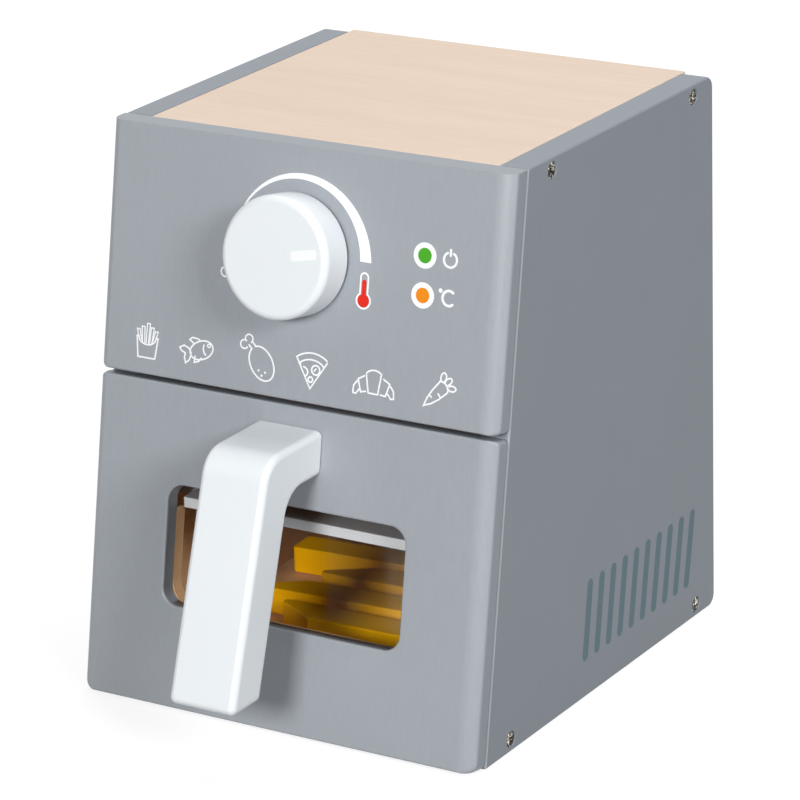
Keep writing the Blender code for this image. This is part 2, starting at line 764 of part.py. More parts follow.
def make_knob(slope, control_panel):
    """The knob, its spacer and its spindle, and the washer and screw that hold it from behind."""
    panel_middle = (DRAWER_FRONT_TOP + SPLIT_GAP + CASE_HEIGHT / math.cos(FRONT_TILT)) / 2
    place = (KNOB_X, -FRONT_THICKNESS - JOINT_GAP, panel_middle + KNOB_ABOVE_MIDDLE)
    axis = add_empty("knob_axis", place, math.pi / 2, slope)
    top = KNOB_GAP + KNOB_HEIGHT
    bore_top = KNOB_GAP + KNOB_BORE_DEPTH
    bore = SPINDLE_RADIUS + JOINT_GAP
    recess = SPACER_RADIUS + JOINT_GAP
    recess_top = SPACER_THICKNESS + 2 * JOINT_GAP
    profile = [(0, bore_top), (bore, bore_top), (bore, recess_top), (recess, recess_top)]
    profile += [(recess, KNOB_GAP), (KNOB_RADIUS, KNOB_GAP)]
    for depth in reversed(arc_depths(KNOB_RIM_RADIUS, SIDE_STEPS)):
        profile.append((KNOB_RADIUS - edge_inset(depth, KNOB_RIM_RADIUS), top - depth))
    profile.append((0, top))
    add_object("knob", turned(profile, KNOB_SIDES), WHITE_PAINT, 0.35, parent=axis)

    ring = [(bore, JOINT_GAP), (SPACER_RADIUS, JOINT_GAP)]
    ring += [(SPACER_RADIUS, JOINT_GAP + SPACER_THICKNESS), (bore, JOINT_GAP + SPACER_THICKNESS)]
    add_object("knob_spacer", turned_ring(ring, PIN_SIDES), FELT, 0.9, parent=axis)

    behind = -FRONT_THICKNESS - SPINDLE_END_PLAY
    pilot = SCREW_SHANK_RADIUS + JOINT_GAP
    pilot_end = behind - WASHER_THICKNESS - JOINT_GAP + KNOB_SCREW_LENGTH + JOINT_GAP
    pin_top = bore_top - JOINT_GAP
    pin = [(0, pilot_end), (pilot, pilot_end), (pilot, behind)]
    pin += [(SPINDLE_RADIUS, behind), (SPINDLE_RADIUS, pin_top), (0, pin_top)]
    add_object("knob_spindle", turned(pin, PIN_SIDES), PALE_WOOD, 0.6, parent=axis)

    washer_top = behind - JOINT_GAP
    washer_low = washer_top - WASHER_THICKNESS
    ring = [(pilot, washer_low), (WASHER_RADIUS, washer_low), (WASHER_RADIUS, washer_top), (pilot, washer_top)]
    add_object("knob_washer", turned_ring(ring, PIN_SIDES), STEEL, 0.4, 0.9, axis)

    head_top = washer_low - JOINT_GAP
    head_low = head_top - KNOB_SCREW_HEAD_HEIGHT
    screw_end = head_top + KNOB_SCREW_LENGTH - SCREW_SHANK_RADIUS
    head = SPINDLE_RADIUS
    shape = [(0, head_low), (head - EDGE_RADIUS, head_low), (head, head_low + EDGE_RADIUS), (head, head_top)]
    shape += [(SCREW_SHANK_RADIUS, head_top), (SCREW_SHANK_RADIUS, screw_end - SCREW_SHANK_RADIUS), (0, screw_end)]
    screw = add_object("knob_screw", turned(shape, SCREW_SIDES), STEEL, 0.35, 0.9, axis)
    add_cross_recess(screw, "knob_screw", head_low)

    hole_end = FRONT_THICKNESS + CUT_OVERRUN
    hole = turned([(0, -hole_end), (bore, -hole_end), (bore, CUT_OVERRUN), (0, CUT_OVERRUN)], PIN_SIDES)
    cut(control_panel, add_object("spindle_hole_cutter", hole, parent=axis))


def turned_ring(profile, sides):
    """A ring turned about +Z from a closed loop of (radius, height) points."""
    solid = bmesh.new()
    rings = []
    for radius, height in profile:
        angles = [2 * math.pi * side / sides for side in range(sides)]
        rings.append([solid.verts.new((radius * math.cos(a), radius * math.sin(a), height)) for a in angles])
    for number, ring in enumerate(rings):
        following = rings[(number + 1) % len(rings)]
        for index in range(sides):
            ahead = (index + 1) % sides
            solid.faces.new((ring[index], ring[ahead], following[ahead], following[index]))
    return solid


def make_handle_screws(slope, boards):
    """Two screws from behind, through the liner and the drawer front into the handle's stub."""
    for side, sign in (("left", -1), ("right", 1)):
        x = HANDLE_X + sign * HANDLE_SCREW_SPACING / 2
        place = Vector((x, liner_back() - SCREW_SUNK_DEPTH, HANDLE_SCREW_UP_SLOPE))
        add_screw("handle_screw_" + side, place, Vector((0, 1, 0)), HANDLE_SCREW_LENGTH, boards, slope)


def make_fries(drawer):
    """The loose wooden fries on the drawer floor."""
    play = 2 * (drawer_half_width() - WALL_THICKNESS) - FRY_LENGTH
    pane_back = behind_liner(floor_top(), 2 * JOINT_GAP + PANE_THICKNESS)
    inner_depth = drawer_rear() - WALL_THICKNESS - pane_back
    slant = FRY_WIDTH / math.tan(FRY_SLANT)
    for name, (across, inwards), turn, slant_right, flipped in FRY_PLACE_SHARES:
        half = FRY_LENGTH / 2
        corners = [
            Vector((-half + (slant if flipped else 0), -FRY_WIDTH / 2)),
            Vector((half, -FRY_WIDTH / 2)),
            Vector((half, FRY_WIDTH / 2)),
            Vector((-half + (0 if flipped else slant), FRY_WIDTH / 2)),
        ]
        if slant_right:
            corners = [Vector((-corner.x, corner.y)) for corner in reversed(corners)]

        def place(x, y, depth):
            return (x, y, FRY_HEIGHT - depth)

        eased = [FRY_EDGE_RADIUS] * len(corners)
        round_corners = [FRY_CORNER_RADIUS] * len(corners)
        bar = slab(corners, round_corners, FRY_HEIGHT, eased, eased, place)
        fry = add_object(name, bar, YELLOW_PAINT, 0.5, parent=drawer)
        fry.location = (across * play, pane_back + inwards * inner_depth, floor_top() + JOINT_GAP)
        fry.rotation_euler = (0.0, 0.0, math.radians(turn))


def main():
    clear_scene()
    foot = (0.0, -CASE_DEPTH / 2, 0.0)
    case_slope = add_empty("case_slope", foot, -FRONT_TILT)
    drawer = add_empty("drawer_frame", (0.0, 0.0, 0.0))
    drawer_slope = add_empty("drawer_slope", foot, -FRONT_TILT, drawer)

    sides = {"left": make_side_panel("left", -1), "right": make_side_panel("right", 1)}
    cross_panels = make_cross_panels()
    make_case_screws(sides, cross_panels)
    control_panel = make_control_panel(case_slope)
    make_dowels(sides, control_panel, case_slope)
    make_knob(case_slope, control_panel)

    front = make_drawer_front(drawer_slope)
    liner = make_liner(drawer_slope)
    make_rail(drawer)
    make_pane(drawer_slope)
    make_drawer_box(drawer, drawer_slope)
    handle = make_handle(drawer)
    make_handle_screws(drawer_slope, (liner, front, handle))
    make_fries(drawer)


main()
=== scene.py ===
"""Looks of the wooden toy air fryer: painted boards, bare wood, printed figures, window, fries and light.

Metres, in the frame of the solids. On the sloped front a place is x across, n into the toy from the side
boards' front edge, and s up the slope.
"""

import math

import bmesh
import bpy
from mathutils import Matrix, Vector


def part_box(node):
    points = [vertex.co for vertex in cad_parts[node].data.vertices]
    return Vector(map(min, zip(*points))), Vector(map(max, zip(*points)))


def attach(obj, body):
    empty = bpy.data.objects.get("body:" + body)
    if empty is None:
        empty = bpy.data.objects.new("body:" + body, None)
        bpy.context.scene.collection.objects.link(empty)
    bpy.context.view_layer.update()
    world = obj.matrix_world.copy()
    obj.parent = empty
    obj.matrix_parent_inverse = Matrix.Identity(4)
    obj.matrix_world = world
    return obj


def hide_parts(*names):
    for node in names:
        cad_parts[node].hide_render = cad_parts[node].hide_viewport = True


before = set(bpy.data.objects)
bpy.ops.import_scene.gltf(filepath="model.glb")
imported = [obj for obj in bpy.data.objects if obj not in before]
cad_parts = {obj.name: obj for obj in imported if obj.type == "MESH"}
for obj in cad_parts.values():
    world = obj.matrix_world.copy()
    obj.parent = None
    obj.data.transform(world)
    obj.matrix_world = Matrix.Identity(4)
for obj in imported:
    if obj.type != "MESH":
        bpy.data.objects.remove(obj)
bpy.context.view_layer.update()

MM = 0.001

# Fits, and how thick a print is
GAP = 0.0003
RUNNING_GAP = 0.0010
OVERRUN = 0.0020
INK = 0.00004

# Case
TILT = math.radians(10.25)
HALF_WIDTH = 0.08385
HALF_DEPTH = 0.08765
HEIGHT = 0.2100
SIDE_THICKNESS = 0.0112
SIDE_REAR_RADIUS = 0.0045
SIDE_FRONT_EDGE = 0.0013
TOP_THICKNESS = 0.0095
BOTTOM_THICKNESS = 0.0095
BACK_THICKNESS = 0.0060
BACK_EDGE = 0.0006
EDGE_RADIUS = 0.0009
FINE_RADIUS = 0.0003
SHARP_RADIUS = 0.0002

# Front boards: an edge is a radius, or a pair of its reach across the face and its depth for a flatter curve
FRONT_THICKNESS = 0.0082
FACE = -FRONT_THICKNESS - GAP
FRONT_EDGES = [EDGE_RADIUS, (0.0078, 0.0034), EDGE_RADIUS, 0.0039]
FRONT_LOW = -0.0004
FRONT_GROUND_GAP = 0.0001
DRAWER_FRONT_TOP = 0.1191
SPLIT_GAP = 0.0017
DRAWER_FRONT_CORNER_RADII = (0.0040, 0.0022)
CONTROL_PANEL_CORNER_RADII = (0.0025, 0.0012)
SAW_SIZE = 1.0

# Case screws: profiles are (radius, height) points, from the side board's face outwards
CASE_SCREW_FROM_REAR = 0.0155
CASE_SCREW_FROM_FRONT = 0.0176
SCREW_SIDES = 40
SCREW_SEAT = ((0.0032, 0.0010), (0.0032, -0.0004), (0.0018, -0.0022), (0.0018, -0.0060))
SCREW_SHANK = ((0.0016, -0.0060), (0.0016, -0.0024), (0.00295, -0.0011))
SCREW_FACE = ((0.00295, -0.00065), (0.00285, -0.00052), (0.0026, -0.00047), (0.0011, -0.00044))
CROSS_ARM = ((0.0016, -0.000252), (0.0016, 0.000252), (0.00036, 0.00036))
CROSS_HEIGHTS_AND_SHARES = ((-0.0016, 0.45), (0.0004, 1.12))
CROSS_TURN = 0.6

# Vents: the first and the last slot's top and foot, as (y, z)
VENT_COUNT = 10
VENT_TOPS = (Vector((-0.00975, 0.0449)), Vector((0.06995, 0.0446)))
VENT_FEET = (Vector((-0.01495, 0.0143)), Vector((0.06395, 0.0145)))
VENT_RADIUS = 0.0020
VENT_STEPS = 12

# Window, liner, rail and pane
WINDOW_LEFT = -0.0506
WINDOW_RIGHT = 0.0500
WINDOW_LOW = 0.0378
WINDOW_TOP = 0.0826
WINDOW_RADIUS = 0.0065
WINDOW_STEPS = 14
WINDOW_EDGE_STEPS = 8
LINER_REBATE = 0.0021
LINER_THICKNESS = 0.0052
LINER_HALF_WIDTH = HALF_WIDTH - SIDE_THICKNESS - RUNNING_GAP
LINER_LOW = 0.01053
LINER_TOP = 0.1130
LINER_SILL_DROP = 0.0013
LINER_SILL_RADIUS = 0.0095
LINER_SHOULDER = 0.0727
LINER_SHOULDER_REACH = 0.0080
LINER_WINDOW_TOP = 0.0846
LINER_CUT = (-0.0040, 0.0050)
REBATE_LOW = 0.0103
RAIL_NECK = 0.0110
RAIL_CORNER_RADIUS = 0.0010
RAIL_TOP_EDGE = 0.0005
PANE_FRONT = LINER_THICKNESS - LINER_REBATE + GAP
PANE_THICKNESS = 0.0020
PANE_LOW = 0.0165
PANE_RADIUS = 0.0005

# Handle, seen from the side: a stub and a grip that leans
HANDLE_RIGHT = 0.0133
HANDLE_WIDTH = 0.0274
HANDLE_TOP = 0.1120
HANDLE_REACH = 0.0348
STUB_HEIGHT = 0.0163
GRIP_LOW = 0.0257
GRIP_DEPTH = 0.0186
GRIP_LEAN = math.radians(18.8)
HANDLE_BEND_RADIUS = 0.0120
HANDLE_END_RADIUS = 0.0025
HANDLE_EDGE_RADIUS = 0.0025

# Fries: name, turn in degrees, whether the slanted end is on the right, and whether it leans the other way
FRY_LENGTH = 0.0900
FRY_WIDTH = 0.0131
FRY_HEIGHT = 0.0104
FRY_SLANT = math.radians(31.3)
FRY_CORNER_RADIUS = 0.0018
FRY_EDGE_RADIUS = 0.0007
FRIES = (
    ("fry_rear", 3.7, True, False),
    ("fry_back_middle", 2.2, False, False),
    ("fry_front_middle", 3.0, False, False),
    ("fry_front", 1.7, False, True),
)

# Knob: heights are measured out from the control panel
KNOB_X = -0.0023
KNOB_UP_SLOPE = 0.1733
KNOB_RADIUS = 0.0222
KNOB_RIM_RADIUS = 0.0027
KNOB_FOOT_RADIUS = 0.0005
KNOB_LOW = 0.0011
KNOB_TOP = 0.0152
KNOB_RECESS_RADIUS = 0.0103
KNOB_RECESS_TOP = 0.0016
KNOB_SIDES = 160
KNOB_FOOT_STEPS = 3
KNOB_RIM_STEPS = 12
MARK_TURN = math.radians(11.5)
MARK_START = 0.0076
MARK_END = 0.0182
MARK_HALF_WIDTH = 0.0018
MARK_RADIUS = 0.0011
MARK_EDGE = 0.00001

# How finely shapes are cut, and how far apart two faces turn before their edge is a crease
WIDE_EDGE = 0.0020
WIDE_EDGE_STEPS = 14
LEAST_RADIUS = 0.0001
DEPTH_DIGITS = 7
SHADE_ANGLE = math.radians(32.0)


# Camera: the photograph's place and angle


def make_camera():
    camera = bpy.data.cameras.new("camera")
    camera.sensor_width = 36.0
    camera.lens = 186.374
    camera.clip_start = 0.05
    camera.clip_end = 50.0
    holder = bpy.data.objects.new("camera", camera)
    bpy.context.scene.collection.objects.link(holder)
    yaw, pitch, roll = 0.5582230662, 0.3405822488, 0.0299197067
    ahead = Vector((-math.sin(yaw) * math.cos(pitch), math.cos(yaw) * math.cos(pitch), -math.sin(pitch)))
    right = Vector((math.cos(yaw), math.sin(yaw), 0.0))
    down = ahead.cross(right)
    across = math.cos(roll) * right + math.sin(roll) * down
    below = -math.sin(roll) * right + math.cos(roll) * down
    turn = Matrix((across, -below, -ahead)).transposed()
    place = Vector((0.7655151691, -1.22840431, 0.61009875))
    holder.matrix_world = Matrix.Translation(place) @ turn.to_4x4()
    bpy.context.scene.camera = holder


make_camera()


# Materials

# Where most of a noise's values lie
NOISE_RANGE = (0.3, 0.7)
# The Mix node's sockets for colours
MIX_SHARE, MIX_FIRST, MIX_SECOND, MIX_RESULT = 0, 6, 7, 2


class Finish:
    """Builds one node material around a Principled shader."""

    def __init__(self, name, roughness=0.5, specular=0.5):
        self.material = bpy.data.materials.new(name)
        self.material.use_nodes = True
        self.tree = self.material.node_tree
        self.shader = self.tree.nodes["Principled BSDF"]
        self.shader.inputs["Roughness"].default_value = roughness
        self.shader.inputs["Specular IOR Level"].default_value = specular
        coordinates = self.tree.nodes.new("ShaderNodeTexCoord")
        self.place = coordinates.outputs["Object"]
        self.normal = coordinates.outputs["Normal"]

    def feed(self, value, socket):
        """Gives a socket a number, a colour or another socket's value."""
        if isinstance(value, float):
            socket.default_value = value
        elif isinstance(value, tuple):
            socket.default_value = (*value, 1.0)
        else:
            self.tree.links.new(value, socket)

    def noise(self, cells, detail=3.0, roughness=0.5, distortion=0.0, turn=(0.0, 0.0, 0.0)):
        """Noise with so many cells to a metre, one number or one for each axis, of the turned object."""
        mapping = self.tree.nodes.new("ShaderNodeMapping")
        mapping.inputs["Rotation"].default_value = turn
        mapping.inputs["Scale"].default_value = cells if isinstance(cells, tuple) else (cells, cells, cells)
        self.feed(self.place, mapping.inputs["Vector"])
        node = self.tree.nodes.new("ShaderNodeTexNoise")
        node.inputs["Scale"].default_value = 1.0
        node.inputs["Detail"].default_value = detail
        node.inputs["Roughness"].default_value = roughness
        node.inputs["Distortion"].default_value = distortion
        self.feed(mapping.outputs["Vector"], node.inputs["Vector"])
        return node.outputs["Fac"]

    def ramp(self, value, low, high, span=NOISE_RANGE):
        """A colour that goes from low to high while the value crosses the span."""
        node = self.tree.nodes.new("ShaderNodeValToRGB")
        for element, position, colour in zip(node.color_ramp.elements, span, (low, high)):
            element.position = position
            element.color = (*colour, 1.0)
        self.feed(value, node.inputs["Fac"])
        return node.outputs["Color"]

    def mixed(self, first, second, share):
        """Mixes two colours; each is a socket or an (r, g, b)."""
        node = self.tree.nodes.new("ShaderNodeMix")
        node.data_type = "RGBA"
        self.feed(first, node.inputs[MIX_FIRST])
        self.feed(second, node.inputs[MIX_SECOND])
        self.feed(share, node.inputs[MIX_SHARE])
        return node.outputs[MIX_RESULT]

    def calc(self, operation, first, second=0.0):
        """One step of arithmetic on sockets or numbers."""
        node = self.tree.nodes.new("ShaderNodeMath")
        node.operation = operation
        self.feed(first, node.inputs[0])
        self.feed(second, node.inputs[1])
        return node.outputs[0]

    def weighed(self, *weighed_values):
        """The sum of values, each times its weight."""
        total = None
        for value, weight in weighed_values:
            scaled = self.calc("MULTIPLY", value, weight)
            total = scaled if total is None else self.calc("ADD", total, scaled)
        return total

    def spread(self, value, low, high, to_low=0.0, to_high=1.0):
        """Maps a value from one range to another, held at its ends."""
        node = self.tree.nodes.new("ShaderNodeMapRange")
        for socket, number in zip(node.inputs, (value, low, high, to_low, to_high)):
            self.feed(number, socket)
        return node.outputs[0]

    def parts(self, vector):
        """A vector's x, y and z."""
        node = self.tree.nodes.new("ShaderNodeSeparateXYZ")
        self.feed(vector, node.inputs[0])
        return node.outputs

    def bump(self, height, strength, distance):
        node = self.tree.nodes.new("ShaderNodeBump")
        self.feed(strength, node.inputs["Strength"])
        self.feed(distance, node.inputs["Distance"])
        self.feed(height, node.inputs["Height"])
        self.feed(node.outputs["Normal"], self.shader.inputs["Normal"])

    def colour(self, socket):
        self.feed(socket, self.shader.inputs["Base Color"])

    def dull(self, noise, from_roughness, to_roughness):
        """Roughness that follows a noise."""
        roughness = self.spread(noise, *NOISE_RANGE, from_roughness, to_roughness)
        self.feed(roughness, self.shader.inputs["Roughness"])


def shade(colour, factor):
    return tuple(min(channel * factor, 1.0) for channel in colour)


def paint(name, colour, roughness, streak, specular):
    """Satin paint on wood: faint streaks that run up the board, fine speckle and a slightly uneven sheen."""
    f = Finish(name, specular=specular)
    streaks = f.noise((900.0, 900.0, 35.0), detail=4.0, roughness=0.6, turn=(TILT, 0.0, 0.0))
    speckle = f.noise(2600.0, detail=2.0, roughness=0.6)
    clouds = f.noise(22.0, detail=2.0)
    tone = f.weighed((streaks, 0.5), (speckle, 0.2), (clouds, 0.3))
    base = f.ramp(tone, shade(colour, 1 - streak), shade(colour, 1 + streak))
    f.dull(streaks, roughness - 0.04, roughness + 0.05)
    f.bump(f.weighed((streaks, 1.0), (speckle, 0.5)), strength=0.25, distance=0.00006)
    return f, base


def plain_paint(name, colour, roughness, streak, specular):
    f, base = paint(name, colour, roughness, streak, specular)
    f.colour(base)
    return f.material


def front_paint_shaded_sides(name, colour, side):
    """The front boards' paint, with painted shade on the boards' sides and a little darker on their sawn
    tops.
    """
    f, base = paint(name, colour, roughness=0.36, streak=0.05, specular=0.5)
    normal = f.parts(f.normal)
    # Painted shade: faces that look across the toy take the darker side colour
    sideways = f.spread(f.calc("ABSOLUTE", normal["X"]), 0.75, 0.97)
    upward = f.spread(normal["Z"], 0.9, 0.97, to_high=0.65)
    f.colour(f.mixed(base, side, f.calc("ADD", sideways, upward)))
    return f.material


def shaded_side_paint(name, colour, painted_edge_highlight):
    """The side boards' paint, a darker grey as painted shade, with a painted highlight along the outer side
    of their rounded front edge.
    """
    f, base = paint(name, colour, roughness=0.40, streak=0.05, specular=0.25)
    place = f.parts(f.place)
    behind = f.weighed((place["Y"], math.cos(TILT)), (place["Z"], -math.sin(TILT)))
    edge = -HALF_DEPTH * math.cos(TILT)
    # Painted highlight: a lighter colour on the outer side of the rounded front edge
    at_front = f.spread(behind, edge + 0.0011, edge + 0.0009)
    outside = f.spread(f.calc("ABSOLUTE", place["X"]), HALF_WIDTH - 0.0006, HALF_WIDTH - 0.0004)
    f.colour(f.mixed(base, painted_edge_highlight, f.calc("MULTIPLY", at_front, outside)))
    return f.material


def pale_paint_shaded_top(name, edge, above):
    """Pale paint on a board's edges, with painted shade on its upper face."""
    f, base = paint(name, edge, roughness=0.45, streak=0.02, specular=0.2)
    # Painted shade: faces that look up take the darker colour
    f.colour(f.mixed(base, above, f.spread(f.parts(f.normal)["Z"], 0.6, 0.9)))
    return f.material


def wood(name, light, dark, contrast=1.0):
    """Bare wood whose grain runs across the toy, with growth bands, fine fibres and short pores."""
    f = Finish(name, specular=0.1)
    bands = f.noise((5.0, 70.0, 70.0), detail=4.0, roughness=0.55, distortion=0.8)
    fibres = f.noise((45.0, 1500.0, 1500.0), detail=4.0, roughness=0.65)
    pores = f.noise((150.0, 3600.0, 3600.0), detail=1.0)
    span = (0.5 - 0.22 / contrast, 0.5 + 0.2 / contrast)
    base = f.ramp(f.weighed((bands, 0.45), (fibres, 0.55)), dark, light, span)
    pits = f.spread(pores, 0.68, 0.78)
    f.colour(f.mixed(base, shade(dark, 0.8), f.calc("MULTIPLY", pits, 0.5)))
    f.dull(fibres, 0.63, 0.50)
    f.bump(f.weighed((fibres, 1.0), (pits, -0.6)), strength=0.35, distance=0.00012)
    return f.material


def metal(name, colour, roughness):
    """Plated steel with fine turning marks, and dark and light patches painted into its colour as
    reflections.
    """
    f = Finish(name)
    f.shader.inputs["Metallic"].default_value = 1.0
    marks = f.noise(4000.0, detail=2.0, roughness=0.6)
    painted_glints = f.noise(750.0, detail=1.0, distortion=1.0)
    tone = f.weighed((marks, 0.25), (painted_glints, 0.75))
    # Painted reflections: the colour runs from near black to bright across the patches
    f.colour(f.ramp(tone, shade(colour, 0.04), shade(colour, 1.5), (0.53, 0.62)))
    f.dull(marks, roughness - 0.08, roughness + 0.1)
    f.bump(marks, strength=0.3, distance=0.00003)
    return f.material


def ink(name, colour, roughness=0.5, speckle=0.05):
    """Printed ink with a slightly uneven cover."""
    f = Finish(name, specular=0.1)
    grain = f.noise(1800.0, roughness=0.6)
    f.colour(f.ramp(grain, shade(colour, 1 - speckle), shade(colour, 1 + speckle)))
    f.dull(grain, roughness - 0.05, roughness + 0.05)
    return f.material


def clear_plastic():
    """Clear plastic: it lets nearly everything through, and mirrors a little."""
    f = Finish("clear_pane")
    f.shader.inputs["Metallic"].default_value = 1.0
    haze = f.noise(60.0)
    f.colour(f.ramp(haze, (0.90, 0.94, 0.97), (0.94, 0.97, 0.99)))
    f.dull(haze, 0.02, 0.05)
    f.feed(f.spread(haze, *NOISE_RANGE, 0.029, 0.033), f.shader.inputs["Alpha"])
    return f.material


# The front paint's second colour is painted shade for the boards' sides
GREY = front_paint_shaded_sides("grey_paint", (0.346, 0.371, 0.402), (0.245, 0.275, 0.312))
# The side boards' grey is painted shade, darker than the front paint; the second colour is a painted
# highlight
SHADED_SIDE_GREY = shaded_side_paint("grey_paint_shaded_sides", (0.249, 0.279, 0.311), (0.43, 0.46, 0.49))
WHITE = plain_paint("white_paint", (0.825, 0.862, 0.888), roughness=0.4, streak=0.012, specular=0.2)
PALE_SHADED_TOP = pale_paint_shaded_top("pale_grey_paint", (0.66, 0.67, 0.68), (0.33, 0.33, 0.34))
YELLOW = plain_paint("yellow_paint", (0.97, 0.50, 0.002), roughness=0.45, streak=0.03, specular=0.05)
PALE_WOOD = wood("pale_wood", (0.86, 0.71, 0.59), (0.76, 0.60, 0.475))
EDGE_WOOD = wood("pale_wood_inside", (0.74, 0.58, 0.43), (0.60, 0.43, 0.29))
TAN_WOOD = wood("tan_wood", (0.80, 0.52, 0.29), (0.60, 0.35, 0.18), contrast=0.9)
STEEL = metal("screw_steel", (0.62, 0.57, 0.48), roughness=0.3)
FIBRE = ink("dark_fibre", (0.03, 0.03, 0.032), roughness=0.85, speckle=0.2)
CLEAR = clear_plastic()
WHITE_INK = ink("white_ink", (0.96, 0.97, 0.98), speckle=0.015)
GREEN_INK = ink("green_ink", (0.075, 0.40, 0.025))
ORANGE_INK = ink("orange_ink", (0.88, 0.275, 0.012))
RED_INK = ink("red_ink", (0.74, 0.030, 0.018))
VENT_INK = ink("vent_ink", (0.155, 0.225, 0.255), roughness=0.6, speckle=0.12)


# Shapes


def smooth(mesh, material):
    """Smooth shading with creases where faces turn sharply, and one material."""
    mesh.shade_smooth()
    mesh.set_sharp_from_angle(angle=SHADE_ANGLE)
    mesh.materials.clear()
    mesh.materials.append(material)


def finished(builder, name, material, body=None, replaced=(), matrix=None):
    """Turns a bmesh into a smooth-shaded piece; with a body it rides there and stands for CAD nodes."""
    bmesh.ops.recalc_face_normals(builder, faces=builder.faces)
    mesh = bpy.data.meshes.new(name)
    builder.to_mesh(mesh)
    builder.free()
    if matrix is not None:
        mesh.transform(matrix)
    smooth(mesh, material)
    made = bpy.data.objects.new(name, mesh)
    bpy.context.scene.collection.objects.link(made)
    even = made.modifiers.new("even_faces", "WEIGHTED_NORMAL")
    even.mode = "FACE_AREA"
    even.weight = 100
    even.keep_sharp = True
    if body:
        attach(made, body)
        if replaced:
            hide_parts(*replaced)
    return made


def moved_sides(corners, distances):
    """Moves each side of an anticlockwise outline inwards by its own distance."""
    count = len(corners)
    lines = []
    for index, corner in enumerate(corners):
        along = (corners[(index + 1) % count] - corner).normalized()
        lines.append((corner + Vector((-along.y, along.x)) * distances[index], along))
    moved = []
    for index in range(count):
        start, along = lines[index - 1]
        other, across = lines[index]
        reach = (other - start).cross(across) / along.cross(across)
        moved.append(start + along * reach)
    return moved


def rounded(corners, radii, steps):
    """Replaces each corner of an outline by an arc that touches both of its sides."""
    count = len(corners)
    points = []
    for index, corner in enumerate(corners):
        before = (corners[index - 1] - corner).normalized()
        after = (corners[(index + 1) % count] - corner).normalized()
        half_opening = before.angle(after) / 2
        first = corner + before * radii[index] / math.tan(half_opening)
        centre = corner + (before + after).normalized() * radii[index] / math.sin(half_opening)
        turn = (math.pi - 2 * half_opening) * (1 if after.cross(before) > 0 else -1)
        for step in range(steps + 1):
            spoke = first - centre
            spoke.rotate(Matrix.Rotation(turn * step / steps, 2))
            points.append(centre + spoke)
    return points


def edge_size(edge):
    """A rounded edge's reach across the face and down its side."""
    return edge if isinstance(edge, tuple) else (edge, edge)


def edge_inset(depth, edge):
    """How far a rounded edge stands back at a depth below its face."""
    across, deep = edge_size(edge)
    above = max(deep - max(depth, 0.0), 0.0) / deep
    return across * (1 - math.sqrt(1 - above**2))


def arc_depths(radius, steps):
    """Depths below a face at which a rounded edge is cut into rings."""
    return [radius * (1 - math.cos(math.pi / 2 * step / steps)) for step in range(steps + 1)]


def closed_rows(rows, solid=None, loop=False):
    """Joins rings of points into a solid, closed by a face at each end, or on itself as a loop."""
    if solid is None:
        solid = bmesh.new()
    rings = [[solid.verts.new(point) for point in row] for row in rows]
    pairs = list(zip(rings, rings[1:]))
    if loop:
        pairs.append((rings[-1], rings[0]))
    for ring, following in pairs:
        for index in range(len(ring)):
            ahead = (index + 1) % len(ring)
            solid.faces.new((ring[index], ring[ahead], following[ahead], following[index]))
    if not loop:
        solid.faces.new(rings[0])
        solid.faces.new(rings[-1])
    return solid


def ring_rows(profile, sides):
    """Rings of points turned about Z from (radius, height) points."""
    angles = [2 * math.pi * side / sides for side in range(sides)]
    rows = []
    for radius, height in profile:
        rows.append([(radius * math.cos(angle), radius * math.sin(angle), height) for angle in angles])
    return rows


def slab(corners, corner_radii, thickness, front_edges, back_edges, place, steps=10, edge_steps=5):
    """A board with rounded corners and edges; place turns (u, v, depth) into a point.

    The radii and edges are a list, with one for each corner or side, or one number for all.
    """
    count = len(corners)
    given = (corner_radii, front_edges, back_edges)
    corner_radii, front_edges, back_edges = (one if isinstance(one, list) else [one] * count for one in given)
    depths = set()
    for edge in {*front_edges, *back_edges}:
        deep = edge_size(edge)[1]
        for depth in arc_depths(deep, WIDE_EDGE_STEPS if deep > WIDE_EDGE else edge_steps):
            if edge in front_edges:
                depths.add(round(depth, DEPTH_DIGITS))
            if edge in back_edges:
                depths.add(round(thickness - depth, DEPTH_DIGITS))
    rows = []
    for depth in sorted(depths):
        insets = []
        for front, back in zip(front_edges, back_edges):
            insets.append(max(edge_inset(depth, front), edge_inset(thickness - depth, back)))
        radii = []
        for index, radius in enumerate(corner_radii):
            inset = (insets[index - 1] + insets[index]) / 2
            before = corners[index] - corners[index - 1]
            after = corners[(index + 1) % count] - corners[index]
            bulges = before.cross(after) > 0
            radii.append(max(radius - inset, LEAST_RADIUS) if bulges else radius + inset)
        ring = rounded(moved_sides(corners, insets), radii, steps)
        rows.append([place(point.x, point.y, depth) for point in ring])
    return closed_rows(rows)


def standing(start):
    """Places a board on the slope, with its front face at a depth behind the side boards' front edge."""
    return lambda x, up, depth: (x, start + depth, up)


def lying(top):
    """Places a level board whose upper face is at a height."""
    return lambda x, y, depth: (x, y, top - depth)


def sideways(start, sign=1):
    """Places an outline in (y, z), from a distance beside the middle towards it."""
    return lambda y, z, depth: (sign * (start - depth), y, z)


def rectangle(left, right, low, high):
    return [Vector((left, low)), Vector((right, low)), Vector((right, high)), Vector((left, high))]


